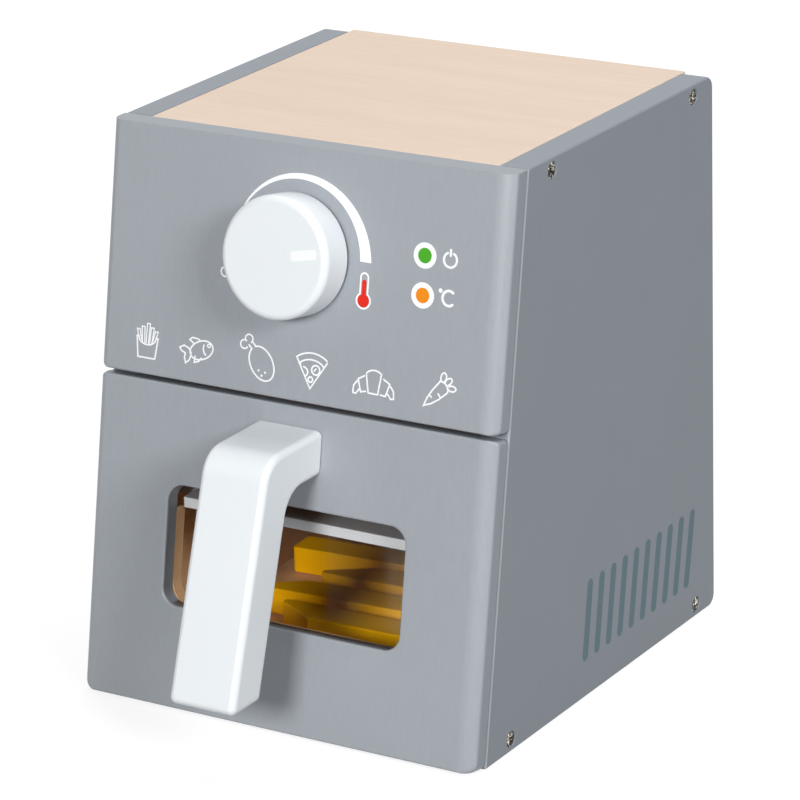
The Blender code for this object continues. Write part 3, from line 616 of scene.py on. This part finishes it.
def carved(target, cutter):
    """Takes the cutter out of a piece for good, and removes it."""
    boolean = target.modifiers.new("carve", "BOOLEAN")
    boolean.operation = "DIFFERENCE"
    boolean.solver = "EXACT"
    boolean.object = cutter
    target.modifiers.move(len(target.modifiers) - 1, 0)
    even = target.modifiers["even_faces"]
    even.show_viewport = False
    made = bpy.data.meshes.new_from_object(target.evaluated_get(bpy.context.evaluated_depsgraph_get()))
    even.show_viewport = True
    target.modifiers.remove(boolean)
    smooth(made, target.data.materials[0])
    target.data = made
    bpy.data.objects.remove(cutter)


def sawn(board, name, middle):
    """Cuts a board off level by a cube whose middle is at a height."""
    saw = bmesh.new()
    bmesh.ops.create_cube(saw, size=SAW_SIZE, matrix=Matrix.Translation((0, 0, middle)))
    carved(board, finished(saw, name, GREY))


def front_y(height):
    """Where the side boards' front edge is at a height above the ground."""
    return -HALF_DEPTH + height * math.tan(TILT)


def on_slope(x, n, s):
    """A point from its place across, into and up the sloped front."""
    y = -HALF_DEPTH + n * math.cos(TILT) + s * math.sin(TILT)
    return Vector((x, y, -n * math.sin(TILT) + s * math.cos(TILT)))


SLOPE = Matrix.Translation((0.0, -HALF_DEPTH, 0.0)) @ Matrix.Rotation(-TILT, 4, "X")


# Case


def between(low, high):
    """The case's outline in (y, z) between two heights, from its sloped front to its rear."""
    points = ((front_y(low), low), (HALF_DEPTH, low), (HALF_DEPTH, high), (front_y(high), high))
    return [Vector(point) for point in points]


def make_sides():
    radii = [EDGE_RADIUS, SIDE_REAR_RADIUS, SIDE_REAR_RADIUS, EDGE_RADIUS]
    eased = [EDGE_RADIUS, EDGE_RADIUS, EDGE_RADIUS, SIDE_FRONT_EDGE]
    for side, sign in (("left", -1), ("right", 1)):
        place = sideways(HALF_WIDTH - INK, sign)
        board = slab(between(0, HEIGHT), radii, SIDE_THICKNESS - INK, eased, SHARP_RADIUS, place)
        panel = finished(board, "side_board_" + side, SHADED_SIDE_GREY, "case", ["side_panel_" + side])
        for level, height in (("top", HEIGHT - TOP_THICKNESS / 2), ("bottom", BOTTOM_THICKNESS / 2)):
            front, rear = front_y(height) + CASE_SCREW_FROM_FRONT, HALF_DEPTH - CASE_SCREW_FROM_REAR
            for end, y in (("front", front), ("rear", rear)):
                name = f"case_screw_{side}_{level}_{end}"
                make_screw(name, Vector((sign * HALF_WIDTH, y, height)), sign, panel)
        make_vents(side, sign)


def make_screw(name, place, sign, panel):
    """A countersunk cross-head screw in its seat, sunk a little below the paint."""
    aim = Matrix.Translation(place) @ Matrix.Rotation(sign * math.pi / 2, 4, "Y")
    seat = closed_rows(ring_rows(SCREW_SEAT, SCREW_SIDES))
    carved(panel, finished(seat, name + "_seat", GREY, matrix=aim))
    rows = ring_rows(SCREW_SHANK + SCREW_FACE, SCREW_SIDES)
    head = finished(closed_rows(rows), name + "_piece", STEEL, matrix=aim)
    cross = []
    for quarter in range(4):
        spin = Matrix.Rotation(quarter * math.pi / 2 + CROSS_TURN, 2)
        cross += [spin @ Vector(point) for point in CROSS_ARM]
    rows = [[(p.x * share, p.y * share, height) for p in cross] for height, share in CROSS_HEIGHTS_AND_SHARES]
    carved(head, finished(closed_rows(rows), name + "_cross", STEEL, matrix=aim))
    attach(head, "case")
    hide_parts(name)


def make_vents(side, sign):
    """Printed slots with round ends, parallel to the sloped front."""
    builder = bmesh.new()
    for number in range(VENT_COUNT):
        share = number / (VENT_COUNT - 1)
        top = VENT_TOPS[0].lerp(VENT_TOPS[1], share)
        foot = VENT_FEET[0].lerp(VENT_FEET[1], share)
        along = (top - foot).normalized()
        aside = Vector((-along.y, along.x))
        points = []
        ends = ((foot + along * VENT_RADIUS, math.pi / 2), (top - along * VENT_RADIUS, -math.pi / 2))
        for end, start in ends:
            for step in range(VENT_STEPS + 1):
                angle = start + math.pi * step / VENT_STEPS
                points.append(end + VENT_RADIUS * (math.cos(angle) * along + math.sin(angle) * aside))
        faces = (HALF_WIDTH - 2 * INK, HALF_WIDTH)
        closed_rows([[(sign * x, p.x, p.y) for p in points] for x in faces], builder)
    finished(builder, "vent_print_" + side, VENT_INK, "case")


def cross_board(name, replaced, corners, material, edge=FINE_RADIUS):
    """A board that runs across the case between its sides."""
    half = HALF_WIDTH - SIDE_THICKNESS - GAP
    board = slab(corners, edge, 2 * half, edge, edge, sideways(half), steps=3, edge_steps=3)
    finished(board, name, material, "case", [replaced])


def make_case_boards():
    underside = HEIGHT - TOP_THICKNESS
    cross_board("top_board", "top_panel", between(underside, HEIGHT), PALE_WOOD)
    cross_board("bottom_board", "bottom_panel", between(0, BOTTOM_THICKNESS), EDGE_WOOD)
    back = rectangle(HALF_DEPTH - BACK_THICKNESS, HALF_DEPTH, BOTTOM_THICKNESS + GAP, underside - GAP)
    cross_board("back_board", "back_panel", back, GREY, BACK_EDGE)


def front_board(name, replaced, low, high, low_radius, high_radius, body):
    """A painted front board on the slope, rounded down its two upright edges."""
    outline = rectangle(-HALF_WIDTH, HALF_WIDTH, low, high)
    radii = [low_radius, low_radius, high_radius, high_radius]
    board = slab(outline, radii, FRONT_THICKNESS, FRONT_EDGES, EDGE_RADIUS, standing(FACE))
    return finished(board, name, GREY, body, [replaced], SLOPE)


def make_control_panel():
    """The upper front board, sawn level with the top of the case."""
    low = DRAWER_FRONT_TOP + SPLIT_GAP
    beyond_top = HEIGHT / math.cos(TILT) + FRONT_THICKNESS
    corner_radii = CONTROL_PANEL_CORNER_RADII
    panel = front_board("control_board", "control_panel", low, beyond_top, *corner_radii, "case")
    sawn(panel, "top_saw", HEIGHT + SAW_SIZE / 2)


# Drawer


def window_ring(grow, n):
    """The window's outline at a depth, grown outwards."""
    corners = rectangle(WINDOW_LEFT - grow, WINDOW_RIGHT + grow, WINDOW_LOW - grow, WINDOW_TOP + grow)
    return [on_slope(p.x, n, p.y) for p in rounded(corners, [WINDOW_RADIUS + grow] * 4, WINDOW_STEPS)]


def make_drawer_front():
    """The lower front board with its window and the rebate for the liner, level along its foot."""
    corner_radii = DRAWER_FRONT_CORNER_RADII
    board = front_board("drawer_board", "drawer_front", FRONT_LOW, DRAWER_FRONT_TOP, *corner_radii, "drawer")
    rows = [window_ring(EDGE_RADIUS, FACE - OVERRUN)]
    for depth in arc_depths(EDGE_RADIUS, WINDOW_EDGE_STEPS):
        rows.append(window_ring(edge_inset(depth, EDGE_RADIUS), FACE + depth))
    rows.append(window_ring(0.0, OVERRUN))
    carved(board, finished(closed_rows(rows), "window_cutter", GREY))
    half = LINER_HALF_WIDTH + GAP
    corners = rectangle(-half, half, REBATE_LOW, LINER_TOP + GAP)
    rebate = [[on_slope(p.x, n, p.y) for p in corners] for n in (-LINER_REBATE - GAP, OVERRUN)]
    carved(board, finished(closed_rows(rebate), "rebate_cutter", GREY))
    sawn(board, "foot_saw", FRONT_GROUND_GAP - SAW_SIZE / 2)


def make_liner():
    """The natural board behind the painted one; its opening is wider above the rail's foot."""
    corners = rectangle(-LINER_HALF_WIDTH, LINER_HALF_WIDTH, LINER_LOW, LINER_TOP)
    edge, place = FINE_RADIUS, standing(-LINER_REBATE)
    board = slab(corners, SHARP_RADIUS, LINER_THICKNESS, edge, edge, place, steps=2, edge_steps=3)
    liner = finished(board, "liner_board", TAN_WOOD, "drawer", ["drawer_liner"], SLOPE)
    sill = WINDOW_LOW - LINER_SILL_DROP
    left, right = WINDOW_LEFT, WINDOW_RIGHT
    wide_left, wide_right = left - LINER_SHOULDER_REACH, right + LINER_SHOULDER_REACH
    opening = (
        (left, sill),
        (right, sill),
        (right, LINER_SHOULDER),
        (wide_right, LINER_SHOULDER),
        (wide_right, LINER_WINDOW_TOP),
        (wide_left, LINER_WINDOW_TOP),
        (wide_left, LINER_SHOULDER),
        (left, LINER_SHOULDER),
    )
    radii = [LINER_SILL_RADIUS] * 2 + [SHARP_RADIUS] * 6
    outline = rounded([Vector(point) for point in opening], radii, WINDOW_STEPS)
    rows = [[on_slope(point.x, n, point.y) for point in outline] for n in LINER_CUT]
    carved(liner, finished(closed_rows(rows), "liner_cutter", GREY))


def make_rail():
    """The pale level plate behind the window, narrow in front."""
    low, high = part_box("window_rail")
    shoulder = low.y + RAIL_NECK
    left, right = WINDOW_LEFT + GAP, WINDOW_RIGHT - GAP
    outline = (
        (left, low.y),
        (right, low.y),
        (right, shoulder),
        (high.x, shoulder),
        (high.x, high.y),
        (low.x, high.y),
        (low.x, shoulder),
        (left, shoulder),
    )
    corners = [Vector(point) for point in outline]
    radii = [RAIL_CORNER_RADIUS] * 2 + [SHARP_RADIUS] * 6
    height, place = high.z - low.z, lying(high.z)
    plate = slab(corners, radii, height, RAIL_TOP_EDGE, FINE_RADIUS, place, steps=6, edge_steps=4)
    finished(plate, "rail_plate", PALE_SHADED_TOP, "drawer", ["window_rail"])


def make_pane():
    low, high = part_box("window_pane")
    top = (high.z + PANE_FRONT * math.sin(TILT)) / math.cos(TILT)
    corners = rectangle(low.x, high.x, PANE_LOW, top)
    edge, place = SHARP_RADIUS, standing(PANE_FRONT)
    sheet = slab(corners, PANE_RADIUS, PANE_THICKNESS, edge, edge, place, steps=2, edge_steps=2)
    finished(sheet, "clear_sheet", CLEAR, "drawer", ["window_pane"], SLOPE)


def make_handle():
    """The handle: a stub out of the drawer's front and a grip that leans away from it."""

    def face_y(height):
        return front_y(height) - (GAP - FACE) / math.cos(TILT)

    corner_y = face_y(HANDLE_TOP) - HANDLE_REACH

    def grip_y(height):
        return corner_y - (HANDLE_TOP - height) * math.tan(GRIP_LEAN)

    stub_low = HANDLE_TOP - STUB_HEIGHT
    corners = [
        Vector((grip_y(HANDLE_TOP), HANDLE_TOP)),
        Vector((grip_y(GRIP_LOW), GRIP_LOW)),
        Vector((grip_y(GRIP_LOW) + GRIP_DEPTH, GRIP_LOW)),
        Vector((grip_y(stub_low) + GRIP_DEPTH, stub_low)),
        Vector((face_y(stub_low), stub_low)),
        Vector((face_y(HANDLE_TOP), HANDLE_TOP)),
    ]
    bend, end = HANDLE_BEND_RADIUS, HANDLE_END_RADIUS
    radii = [bend, end, end, bend, EDGE_RADIUS, EDGE_RADIUS]
    edges = [HANDLE_EDGE_RADIUS] * 4 + [SHARP_RADIUS, HANDLE_EDGE_RADIUS]
    place = sideways(HANDLE_RIGHT)
    body = slab(corners, radii, HANDLE_WIDTH, edges, edges, place, steps=14, edge_steps=8)
    finished(body, "handle_piece", WHITE, "drawer", ["handle"])


def make_fries():
    """The fries, each with one square and one slanted end, where the solids lie."""
    slant = FRY_WIDTH / math.tan(FRY_SLANT)
    half, side = FRY_LENGTH / 2, FRY_WIDTH / 2
    for name, turn, slant_right, flipped in FRIES:
        corners = rectangle(-half, half, -side, side)
        corners[0 if flipped else 3].x += slant
        if slant_right:
            corners = [Vector((-corner.x, corner.y)) for corner in reversed(corners)]
        edge = FRY_EDGE_RADIUS
        bar = slab(corners, FRY_CORNER_RADIUS, FRY_HEIGHT, edge, edge, lying(FRY_HEIGHT))
        low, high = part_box(name)
        spin = Matrix.Rotation(math.radians(turn), 4, "Z")
        turned = [spin @ vertex.co for vertex in bar.verts]
        middle_x = (min(p.x for p in turned) + max(p.x for p in turned)) / 2
        middle_y = (min(p.y for p in turned) + max(p.y for p in turned)) / 2
        shift = Vector(((low.x + high.x) / 2 - middle_x, (low.y + high.y) / 2 - middle_y, low.z))
        place = Matrix.Translation(shift) @ spin
        finished(bar, name + "_piece", YELLOW, "drawer", [name], place)


# Knob


def make_knob():
    """The turned knob, hollowed under its foot, and the mark on its face."""
    axis = SLOPE @ Matrix.Translation((KNOB_X, FACE, KNOB_UP_SLOPE)) @ Matrix.Rotation(math.pi / 2, 4, "X")
    foot, rim = KNOB_FOOT_RADIUS, KNOB_RIM_RADIUS
    recess, wide = KNOB_RECESS_RADIUS, KNOB_RADIUS
    profile = [(recess, KNOB_RECESS_TOP), (recess, KNOB_LOW + GAP), (recess + GAP, KNOB_LOW)]
    for step in range(KNOB_FOOT_STEPS + 1):
        angle = math.pi / 2 * step / KNOB_FOOT_STEPS
        profile.append((wide - foot + foot * math.sin(angle), KNOB_LOW + foot - foot * math.cos(angle)))
    for step in range(KNOB_RIM_STEPS + 1):
        angle = math.pi / 2 * step / KNOB_RIM_STEPS
        profile.append((wide - rim + rim * math.cos(angle), KNOB_TOP - rim + rim * math.sin(angle)))
    knob = closed_rows(ring_rows(profile, KNOB_SIDES))
    finished(knob, "knob_piece", WHITE, "knob", ["knob"], axis)
    corners = rectangle(MARK_START, MARK_END, -MARK_HALF_WIDTH, MARK_HALF_WIDTH)
    edge, place = MARK_EDGE, lying(KNOB_TOP + INK)
    mark = slab(corners, MARK_RADIUS, 2 * INK, edge, edge, place, steps=8, edge_steps=1)
    spin = Matrix.Rotation(MARK_TURN, 4, "Z")
    finished(mark, "knob_mark", WHITE_INK, "knob", matrix=axis @ spin)


# Prints on the control panel: points in millimetres across and up the slope

# How far a print reaches into the board, and how strokes that cross lie a hair above each other
PRINT_ROOT = 0.00003
HAIR = 0.0000022
HAIR_LEVELS = 12
HAIR_VERTICES = 7

# Strokes, in millimetres: their usual width, the least step of a path, the round end's steps and last width,
# and the least share of a stroke's width at a bend
STROKE = 0.58
THIN_STROKE = 0.45
LEAST_STEP = 0.02
END_STEPS = 5
END_WIDTH_SHARE = 0.05
BEND_SHARE = 0.6

# The scale round the knob: its radius, its angles in degrees, how it widens for each degree, and its end
SCALE_RADIUS = 26.65
SCALE_START = 167
SCALE_TURN = 165
SCALE_STEPS = 96
SCALE_WIDENING = 0.0276
SCALE_END_INNER = (24.3, 174.25)
SCALE_END_OUTER = (28.85, 174.25)


def arc(cx, cy, rx, ry, start, end, steps, tilt=0.0):
    """Points of an ellipse's arc; angles in degrees."""
    points = []
    spin = math.radians(tilt)
    for step in range(steps + 1):
        angle = math.radians(start + (end - start) * step / steps)
        u, v = rx * math.cos(angle), ry * math.sin(angle)
        x = cx + u * math.cos(spin) - v * math.sin(spin)
        points.append((x, cy + u * math.sin(spin) + v * math.cos(spin)))
    return points


def circle(x, s, radius, steps):
    return arc(x, s, radius, radius, 0, 360, steps)[:-1]


def print_area(builder, points, level=1):
    """A filled outline lying on the panel."""
    depths = (FACE + PRINT_ROOT, FACE - level * INK)
    closed_rows([[on_slope(x * MM, n, s * MM) for x, s in points] for n in depths], builder)


def stroke_line(points, half, closed):
    """The stroke's centres and half widths, with round ends."""
    path = [Vector(points[0])]
    for point in points[1:]:
        if (Vector(point) - path[-1]).length > LEAST_STEP:
            path.append(Vector(point))
    if closed:
        if (path[0] - path[-1]).length < LEAST_STEP:
            path.pop()
        return [(point, half) for point in path]

    def round_end(tip, inner):
        out = (tip - inner).normalized()
        rows = []
        for step in range(1, END_STEPS + 1):
            angle = math.pi / 2 * step / END_STEPS
            rows.append((tip + out * half * math.sin(angle), half * max(math.cos(angle), END_WIDTH_SHARE)))
        return rows

    first, last = round_end(path[0], path[1]), round_end(path[-1], path[-2])
    return first[::-1] + [(point, half) for point in path] + last


def print_line(builder, points, width=STROKE, closed=False):
    """A stroke of even width as one strip."""
    line = stroke_line(points, width / 2, closed)
    count = len(line)
    top = FACE - INK - len(builder.verts) // HAIR_VERTICES % HAIR_LEVELS * HAIR
    root = FACE + PRINT_ROOT
    rows = []
    for index, (point, half) in enumerate(line):
        before = line[index - 1][0] if index or closed else None
        after = line[(index + 1) % count][0] if index < count - 1 or closed else None
        into = (point - before).normalized() if before is not None else (after - point).normalized()
        out = (after - point).normalized() if after is not None else into
        along = (into + out).normalized()
        aside = Vector((-along.y, along.x)) * half / max(along.dot(into), BEND_SHARE)
        left, right = point + aside, point - aside
        sides = ((left, top), (right, top), (right, root), (left, root))
        rows.append([on_slope(place.x * MM, n, place.y * MM) for place, n in sides])
    closed_rows(rows, builder, closed)


def make_scale():
    """The scale that widens round the knob, and the small ring at its start."""
    cx, cy = KNOB_X / MM, KNOB_UP_SLOPE / MM
    builder = bmesh.new()
    outer, inner = [], []
    for step in range(SCALE_STEPS):
        angle = SCALE_START - SCALE_TURN * step / SCALE_STEPS
        wide = SCALE_RADIUS + SCALE_WIDENING * (SCALE_START - angle)
        across, up = math.cos(math.radians(angle)), math.sin(math.radians(angle))
        inner.append((cx + SCALE_RADIUS * across, cy + SCALE_RADIUS * up))
        outer.append((cx + wide * across, cy + wide * up))
    inner.append(SCALE_END_INNER)
    outer.append(SCALE_END_OUTER)
    print_area(builder, outer + inner[::-1])
    print_line(builder, circle(-31.45, 163.0, 1.75, 32), 0.65, closed=True)
    return builder


def make_thermometer(white, red):
    x, bulb = 26.6, 160.65
    outline = arc(x, bulb, 2.8, 2.8, 123, 417, 36) + arc(x, 168.9, 1.53, 1.55, 0, 180, 16)
    print_line(white, outline, 0.6, closed=True)
    filling = arc(x, bulb, 2.35, 2.35, 112, 428, 36) + arc(x, 167.2, 0.88, 0.9, 0, 180, 14)
    print_area(red, filling, 1.2)


def make_lamp(white, colour, x, s):
    print_area(white, circle(x, s, 4.6, 64))
    print_area(colour, circle(x, s, 2.72, 48), 2)


def make_signs(white):
    """The power sign, and the degree sign with its C."""
    print_line(white, arc(60.6, 179.7, 2.6, 2.6, 118, 422, 40), 0.85)
    print_line(white, [(60.6, 181.2), (60.6, 183.2)], 0.85)
    print_area(white, circle(57.5, 168.6, 0.78, 20))
    print_line(white, arc(61.0, 166.3, 2.55, 2.65, 52, 308, 40), 0.95)


def draw_fries(white):
    """Five fries in a box."""
    print_line(white, [(-67.9, 134.6), (-67.1, 127.0), (-59.7, 127.0), (-58.7, 134.6)])
    front = arc(-63.3, 134.4, 3.7, 2.6, 176, 364, 16)
    print_line(white, [(-67.9, 134.6), (-67.2, 134.7), *front, (-59.4, 134.7), (-58.7, 134.6)])
    middle_low, side_low = 132.4, 133.4
    fries = (
        (-66.4, side_low, -67.3, 137.2),
        (-64.9, middle_low, -65.3, 138.3),
        (-63.3, middle_low, -63.0, 139.6),
        (-61.8, middle_low, -61.2, 138.2),
        (-60.4, side_low, -59.4, 137.0),
    )
    for foot, low, head, tall in fries:
        fry = [(foot - 0.5, low), (head - 0.62, tall), (head + 0.62, tall), (foot + 0.5, low)]
        print_line(white, fry, THIN_STROKE)


def draw_fish(white):
    print_line(white, [*arc(-39.7, 133.2, 5.1, 3.3, 186, -160, 34, 22), (-44.5, 131.2)], closed=True)
    print_line(white, arc(-34.6, 134.4, 4.4, 3.6, 152, 212, 10, 12))
    print_line(white, circle(-36.6, 135.3, 0.62, 14), THIN_STROKE, closed=True)
    tail_and_fins = (
        [(-44.1, 131.6), (-45.1, 133.2), (-47.3, 134.0), (-49.1, 133.0), (-48.3, 131.9), (-46.6, 131.3)],
        [(-46.6, 131.3), (-46.9, 129.6), (-46.3, 127.7), (-44.9, 128.8), (-44.3, 130.2), (-44.1, 131.6)],
        [(-43.4, 135.4), (-45.0, 136.4), (-43.9, 137.3), (-41.9, 137.2), (-40.8, 136.9)],
        [(-42.3, 130.6), (-42.6, 128.4), (-40.7, 129.0), (-39.6, 130.3)],
    )
    for points in tail_and_fins:
        print_line(white, points)


def draw_drumstick(white):
    print_line(white, arc(-13.9, 132.2, 6.6, 4.7, 190, 530, 48, -55))
    print_line(white, [(-18.5, 137.1), (-19.6, 138.2)])
    print_line(white, [(-17.0, 138.3), (-18.0, 139.3)])
    print_line(white, arc(-21.6, 138.2, 1.6, 1.6, 60, 325, 20))
    print_line(white, arc(-19.7, 140.4, 1.6, 1.6, -50, 215, 20))
    for x, s in ((-15.0, 129.6), (-12.2, 129.2), (-13.6, 127.9)):
        print_area(white, circle(x, s, 0.42, 12))


def draw_pizza(white):
    print_line(white, [(0.9, 136.6), (6.9, 126.3), (13.5, 136.3)])
    print_line(white, arc(7.1, 127.2, 11.3, 11.9, 125, 56, 20))
    print_line(white, [(2.3, 134.4), *arc(7.0, 126.5, 9.2, 10.2, 119, 62, 16), (12.3, 134.5)])
    print_line(white, arc(3.5, 132.0, 2.1, 1.8, 82, -52, 12))
    print_line(white, circle(8.9, 133.2, 1.7, 24), closed=True)
    print_line(white, [(8.2, 132.8), (9.0, 133.7)], 0.5)
    print_line(white, circle(6.9, 129.6, 0.95, 16), closed=True)


def draw_croissant(white):
    crown = arc(33.1, 133.6, 3.9, 3.2, 140, 42, 10)
    for points in (
        [(29.8, 135.2), *crown, (34.9, 128.4), (31.0, 128.5), (29.8, 135.2)],
        [(29.1, 134.3), (26.6, 132.9), (27.9, 128.4), (29.9, 128.9)],
        [(37.0, 134.2), (39.6, 132.8), (38.1, 128.3), (36.0, 128.5)],
        [(26.3, 132.2), (24.9, 130.5), (24.7, 127.8), (25.9, 127.6), (27.3, 129.4)],
        [(40.0, 132.0), (41.3, 130.4), (41.5, 127.8), (40.3, 127.6), (39.0, 129.2)],
    ):
        print_line(white, points)


def draw_carrot(white):
    left_side = [(54.0, 128.2), (55.0, 130.6), (57.0, 133.6), (59.6, 136.7)]
    right_side = [(54.2, 127.8), (56.6, 128.6), (59.8, 130.6), (63.0, 133.4)]
    print_line(white, [*reversed(left_side), (53.6, 127.4), *right_side])
    print_line(white, arc(60.0, 134.0, 3.1, 3.0, 97, -12, 14))
    print_line(white, arc(61.1, 138.5, 1.1, 1.7, -65, 235, 16, -12))
    print_line(white, arc(63.2, 137.3, 1.6, 1.0, -125, 165, 16, 42))
    print_line(white, arc(64.7, 135.0, 1.6, 1.0, -165, 140, 16))
    print_line(white, [(55.9, 131.6), (56.7, 130.9)])
    print_line(white, [(60.2, 131.4), (59.3, 132.5)])


def make_prints():
    white, red, green, orange = make_scale(), bmesh.new(), bmesh.new(), bmesh.new()
    make_thermometer(white, red)
    make_lamp(white, green, 50.35, 179.9)
    make_lamp(white, orange, 50.45, 165.9)
    make_signs(white)
    for draw in (draw_fries, draw_fish, draw_drumstick, draw_pizza, draw_croissant, draw_carrot):
        draw(white)
    prints = (
        ("white", white, WHITE_INK),
        ("red", red, RED_INK),
        ("green", green, GREEN_INK),
        ("orange", orange, ORANGE_INK),
    )
    for name, builder, material in prints:
        finished(builder, "panel_print_" + name, material, "case")


# Other nodes keep their CAD shapes


def dress_nodes():
    finishes = (
        (EDGE_WOOD, ("shelf_panel", "control_panel_dowel", "knob_spindle")),
        (TAN_WOOD, ("drawer_side", "drawer_back", "drawer_floor")),
        (STEEL, ("knob_washer", "knob_screw", "handle_screw")),
        (FIBRE, ("knob_spacer",)),
    )
    for name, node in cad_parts.items():
        for finish, starts in finishes:
            if name.startswith(starts):
                node.data.materials.clear()
                node.data.materials.append(finish)


make_sides()
make_case_boards()
make_control_panel()
make_drawer_front()
make_liner()
make_rail()
make_pane()
make_handle()
make_fries()
make_knob()
make_prints()
dress_nodes()


# Floor, backdrop and light

FLOOR_SIZE = 1.4
FLOOR_GREY = (0.30, 0.30, 0.30)
FLOOR_GLOW = 0.8
CARD_SIZE = 0.5
CARD_SHARES = (0.19, 0.14)
CARD_PLACE = (-0.15, -0.345, 0.072)
CARD_TURN = math.radians(-30.0)
AMBIENT_COLOUR = (0.93, 0.96, 1.0)
AMBIENT_STRENGTH = 0.06

# Area lights aim at the toy from one distance: azimuth and elevation in degrees, size and power. Azimuth 0 is
# straight in front, 90 to the right.
LIGHT_AIM = Vector((0.0, 0.0, 0.1))
LIGHT_DISTANCE = 2.2
LIGHTS = (
    ("front", 8.0, 20.0, (0.52, 0.42), 28.7),
    ("right", 63.0, 26.5, (0.73, 0.58), 25.0),
    ("over", 180.0, 66.0, (1.2, 1.3), 25.5),
    ("rear_left", -122.0, 12.0, (0.8, 0.6), 11.0),
)


def seen_directly(tree):
    """1 for rays that show the background: from the camera, through the clear sheet too, or mirrored."""
    path = tree.nodes.new("ShaderNodeLightPath")
    either = tree.nodes.new("ShaderNodeMath")
    either.operation = "MAXIMUM"
    tree.links.new(path.outputs["Is Camera Ray"], either.inputs[0])
    tree.links.new(path.outputs["Is Glossy Ray"], either.inputs[1])
    return either.outputs[0]


def floor_white():
    """A grey that takes shadows, and glows white where it is seen."""
    f = Finish("floor_white", roughness=0.9, specular=0.0)
    f.colour(FLOOR_GREY)
    glow = f.tree.nodes.new("ShaderNodeEmission")
    f.feed((1.0, 1.0, 1.0), glow.inputs["Color"])
    f.feed(f.calc("MULTIPLY", seen_directly(f.tree), FLOOR_GLOW), glow.inputs["Strength"])
    both = f.tree.nodes.new("ShaderNodeAddShader")
    f.feed(f.shader.outputs[0], both.inputs[0])
    f.feed(glow.outputs[0], both.inputs[1])
    f.feed(both.outputs[0], f.tree.nodes["Material Output"].inputs["Surface"])
    return f.material


def card_black():
    """Black that only mirrored rays meet, so no camera sees the card itself."""
    f = Finish("card_black", roughness=0.9, specular=0.0)
    f.colour(f.ramp(f.noise(60.0, detail=2.0), (0.025, 0.025, 0.027), (0.035, 0.035, 0.037)))
    path = f.tree.nodes.new("ShaderNodeLightPath")
    f.feed(f.calc("SUBTRACT", 1.0, path.outputs["Is Camera Ray"]), f.shader.inputs["Alpha"])
    return f.material


def stage_sheet(name, size, material, matrix=None):
    """A flat square that belongs to the studio."""
    sheet = bmesh.new()
    bmesh.ops.create_grid(sheet, x_segments=1, y_segments=1, size=size)
    finished(sheet, name, material, matrix=matrix)


def make_stage():
    """A pale floor, and a dark card in front that the clear sheet mirrors in place of the white studio."""
    stage_sheet("floor", FLOOR_SIZE, floor_white())
    upright = Matrix.Rotation(math.radians(90.0), 4, "X") @ Matrix.Diagonal((*CARD_SHARES, 1.0, 1.0))
    place = Matrix.Translation(CARD_PLACE) @ Matrix.Rotation(CARD_TURN, 4, "Z")
    stage_sheet("dark_card", CARD_SIZE, card_black(), place @ upright)


def make_world():
    """White where the background is seen, and a faint cool light on the toy."""
    world = bpy.data.worlds.new("studio")
    bpy.context.scene.world = world
    world.use_nodes = True
    tree = world.node_tree
    ambient = tree.nodes["Background"]
    ambient.inputs["Color"].default_value = (*AMBIENT_COLOUR, 1.0)
    ambient.inputs["Strength"].default_value = AMBIENT_STRENGTH
    white = tree.nodes.new("ShaderNodeBackground")
    white.inputs["Color"].default_value = (1.0, 1.0, 1.0, 1.0)
    mix = tree.nodes.new("ShaderNodeMixShader")
    tree.links.new(seen_directly(tree), mix.inputs[0])
    tree.links.new(ambient.outputs[0], mix.inputs[1])
    tree.links.new(white.outputs[0], mix.inputs[2])
    tree.links.new(mix.outputs[0], tree.nodes["World Output"].inputs["Surface"])


def softbox(name, azimuth, elevation, size, power):
    light = bpy.data.lights.new(name, "AREA")
    light.shape = "RECTANGLE"
    light.size, light.size_y = size
    light.energy = power
    holder = bpy.data.objects.new(name, light)
    bpy.context.scene.collection.objects.link(holder)
    a, e = math.radians(azimuth), math.radians(elevation)
    out = Vector((math.sin(a) * math.cos(e), -math.cos(a) * math.cos(e), math.sin(e)))
    holder.location = LIGHT_AIM + out * LIGHT_DISTANCE
    holder.rotation_euler = out.to_track_quat("Z", "Y").to_euler()


make_stage()
make_world()
for light in LIGHTS:
    softbox(*light)

scene = bpy.context.scene
scene.view_settings.view_transform = "Standard"
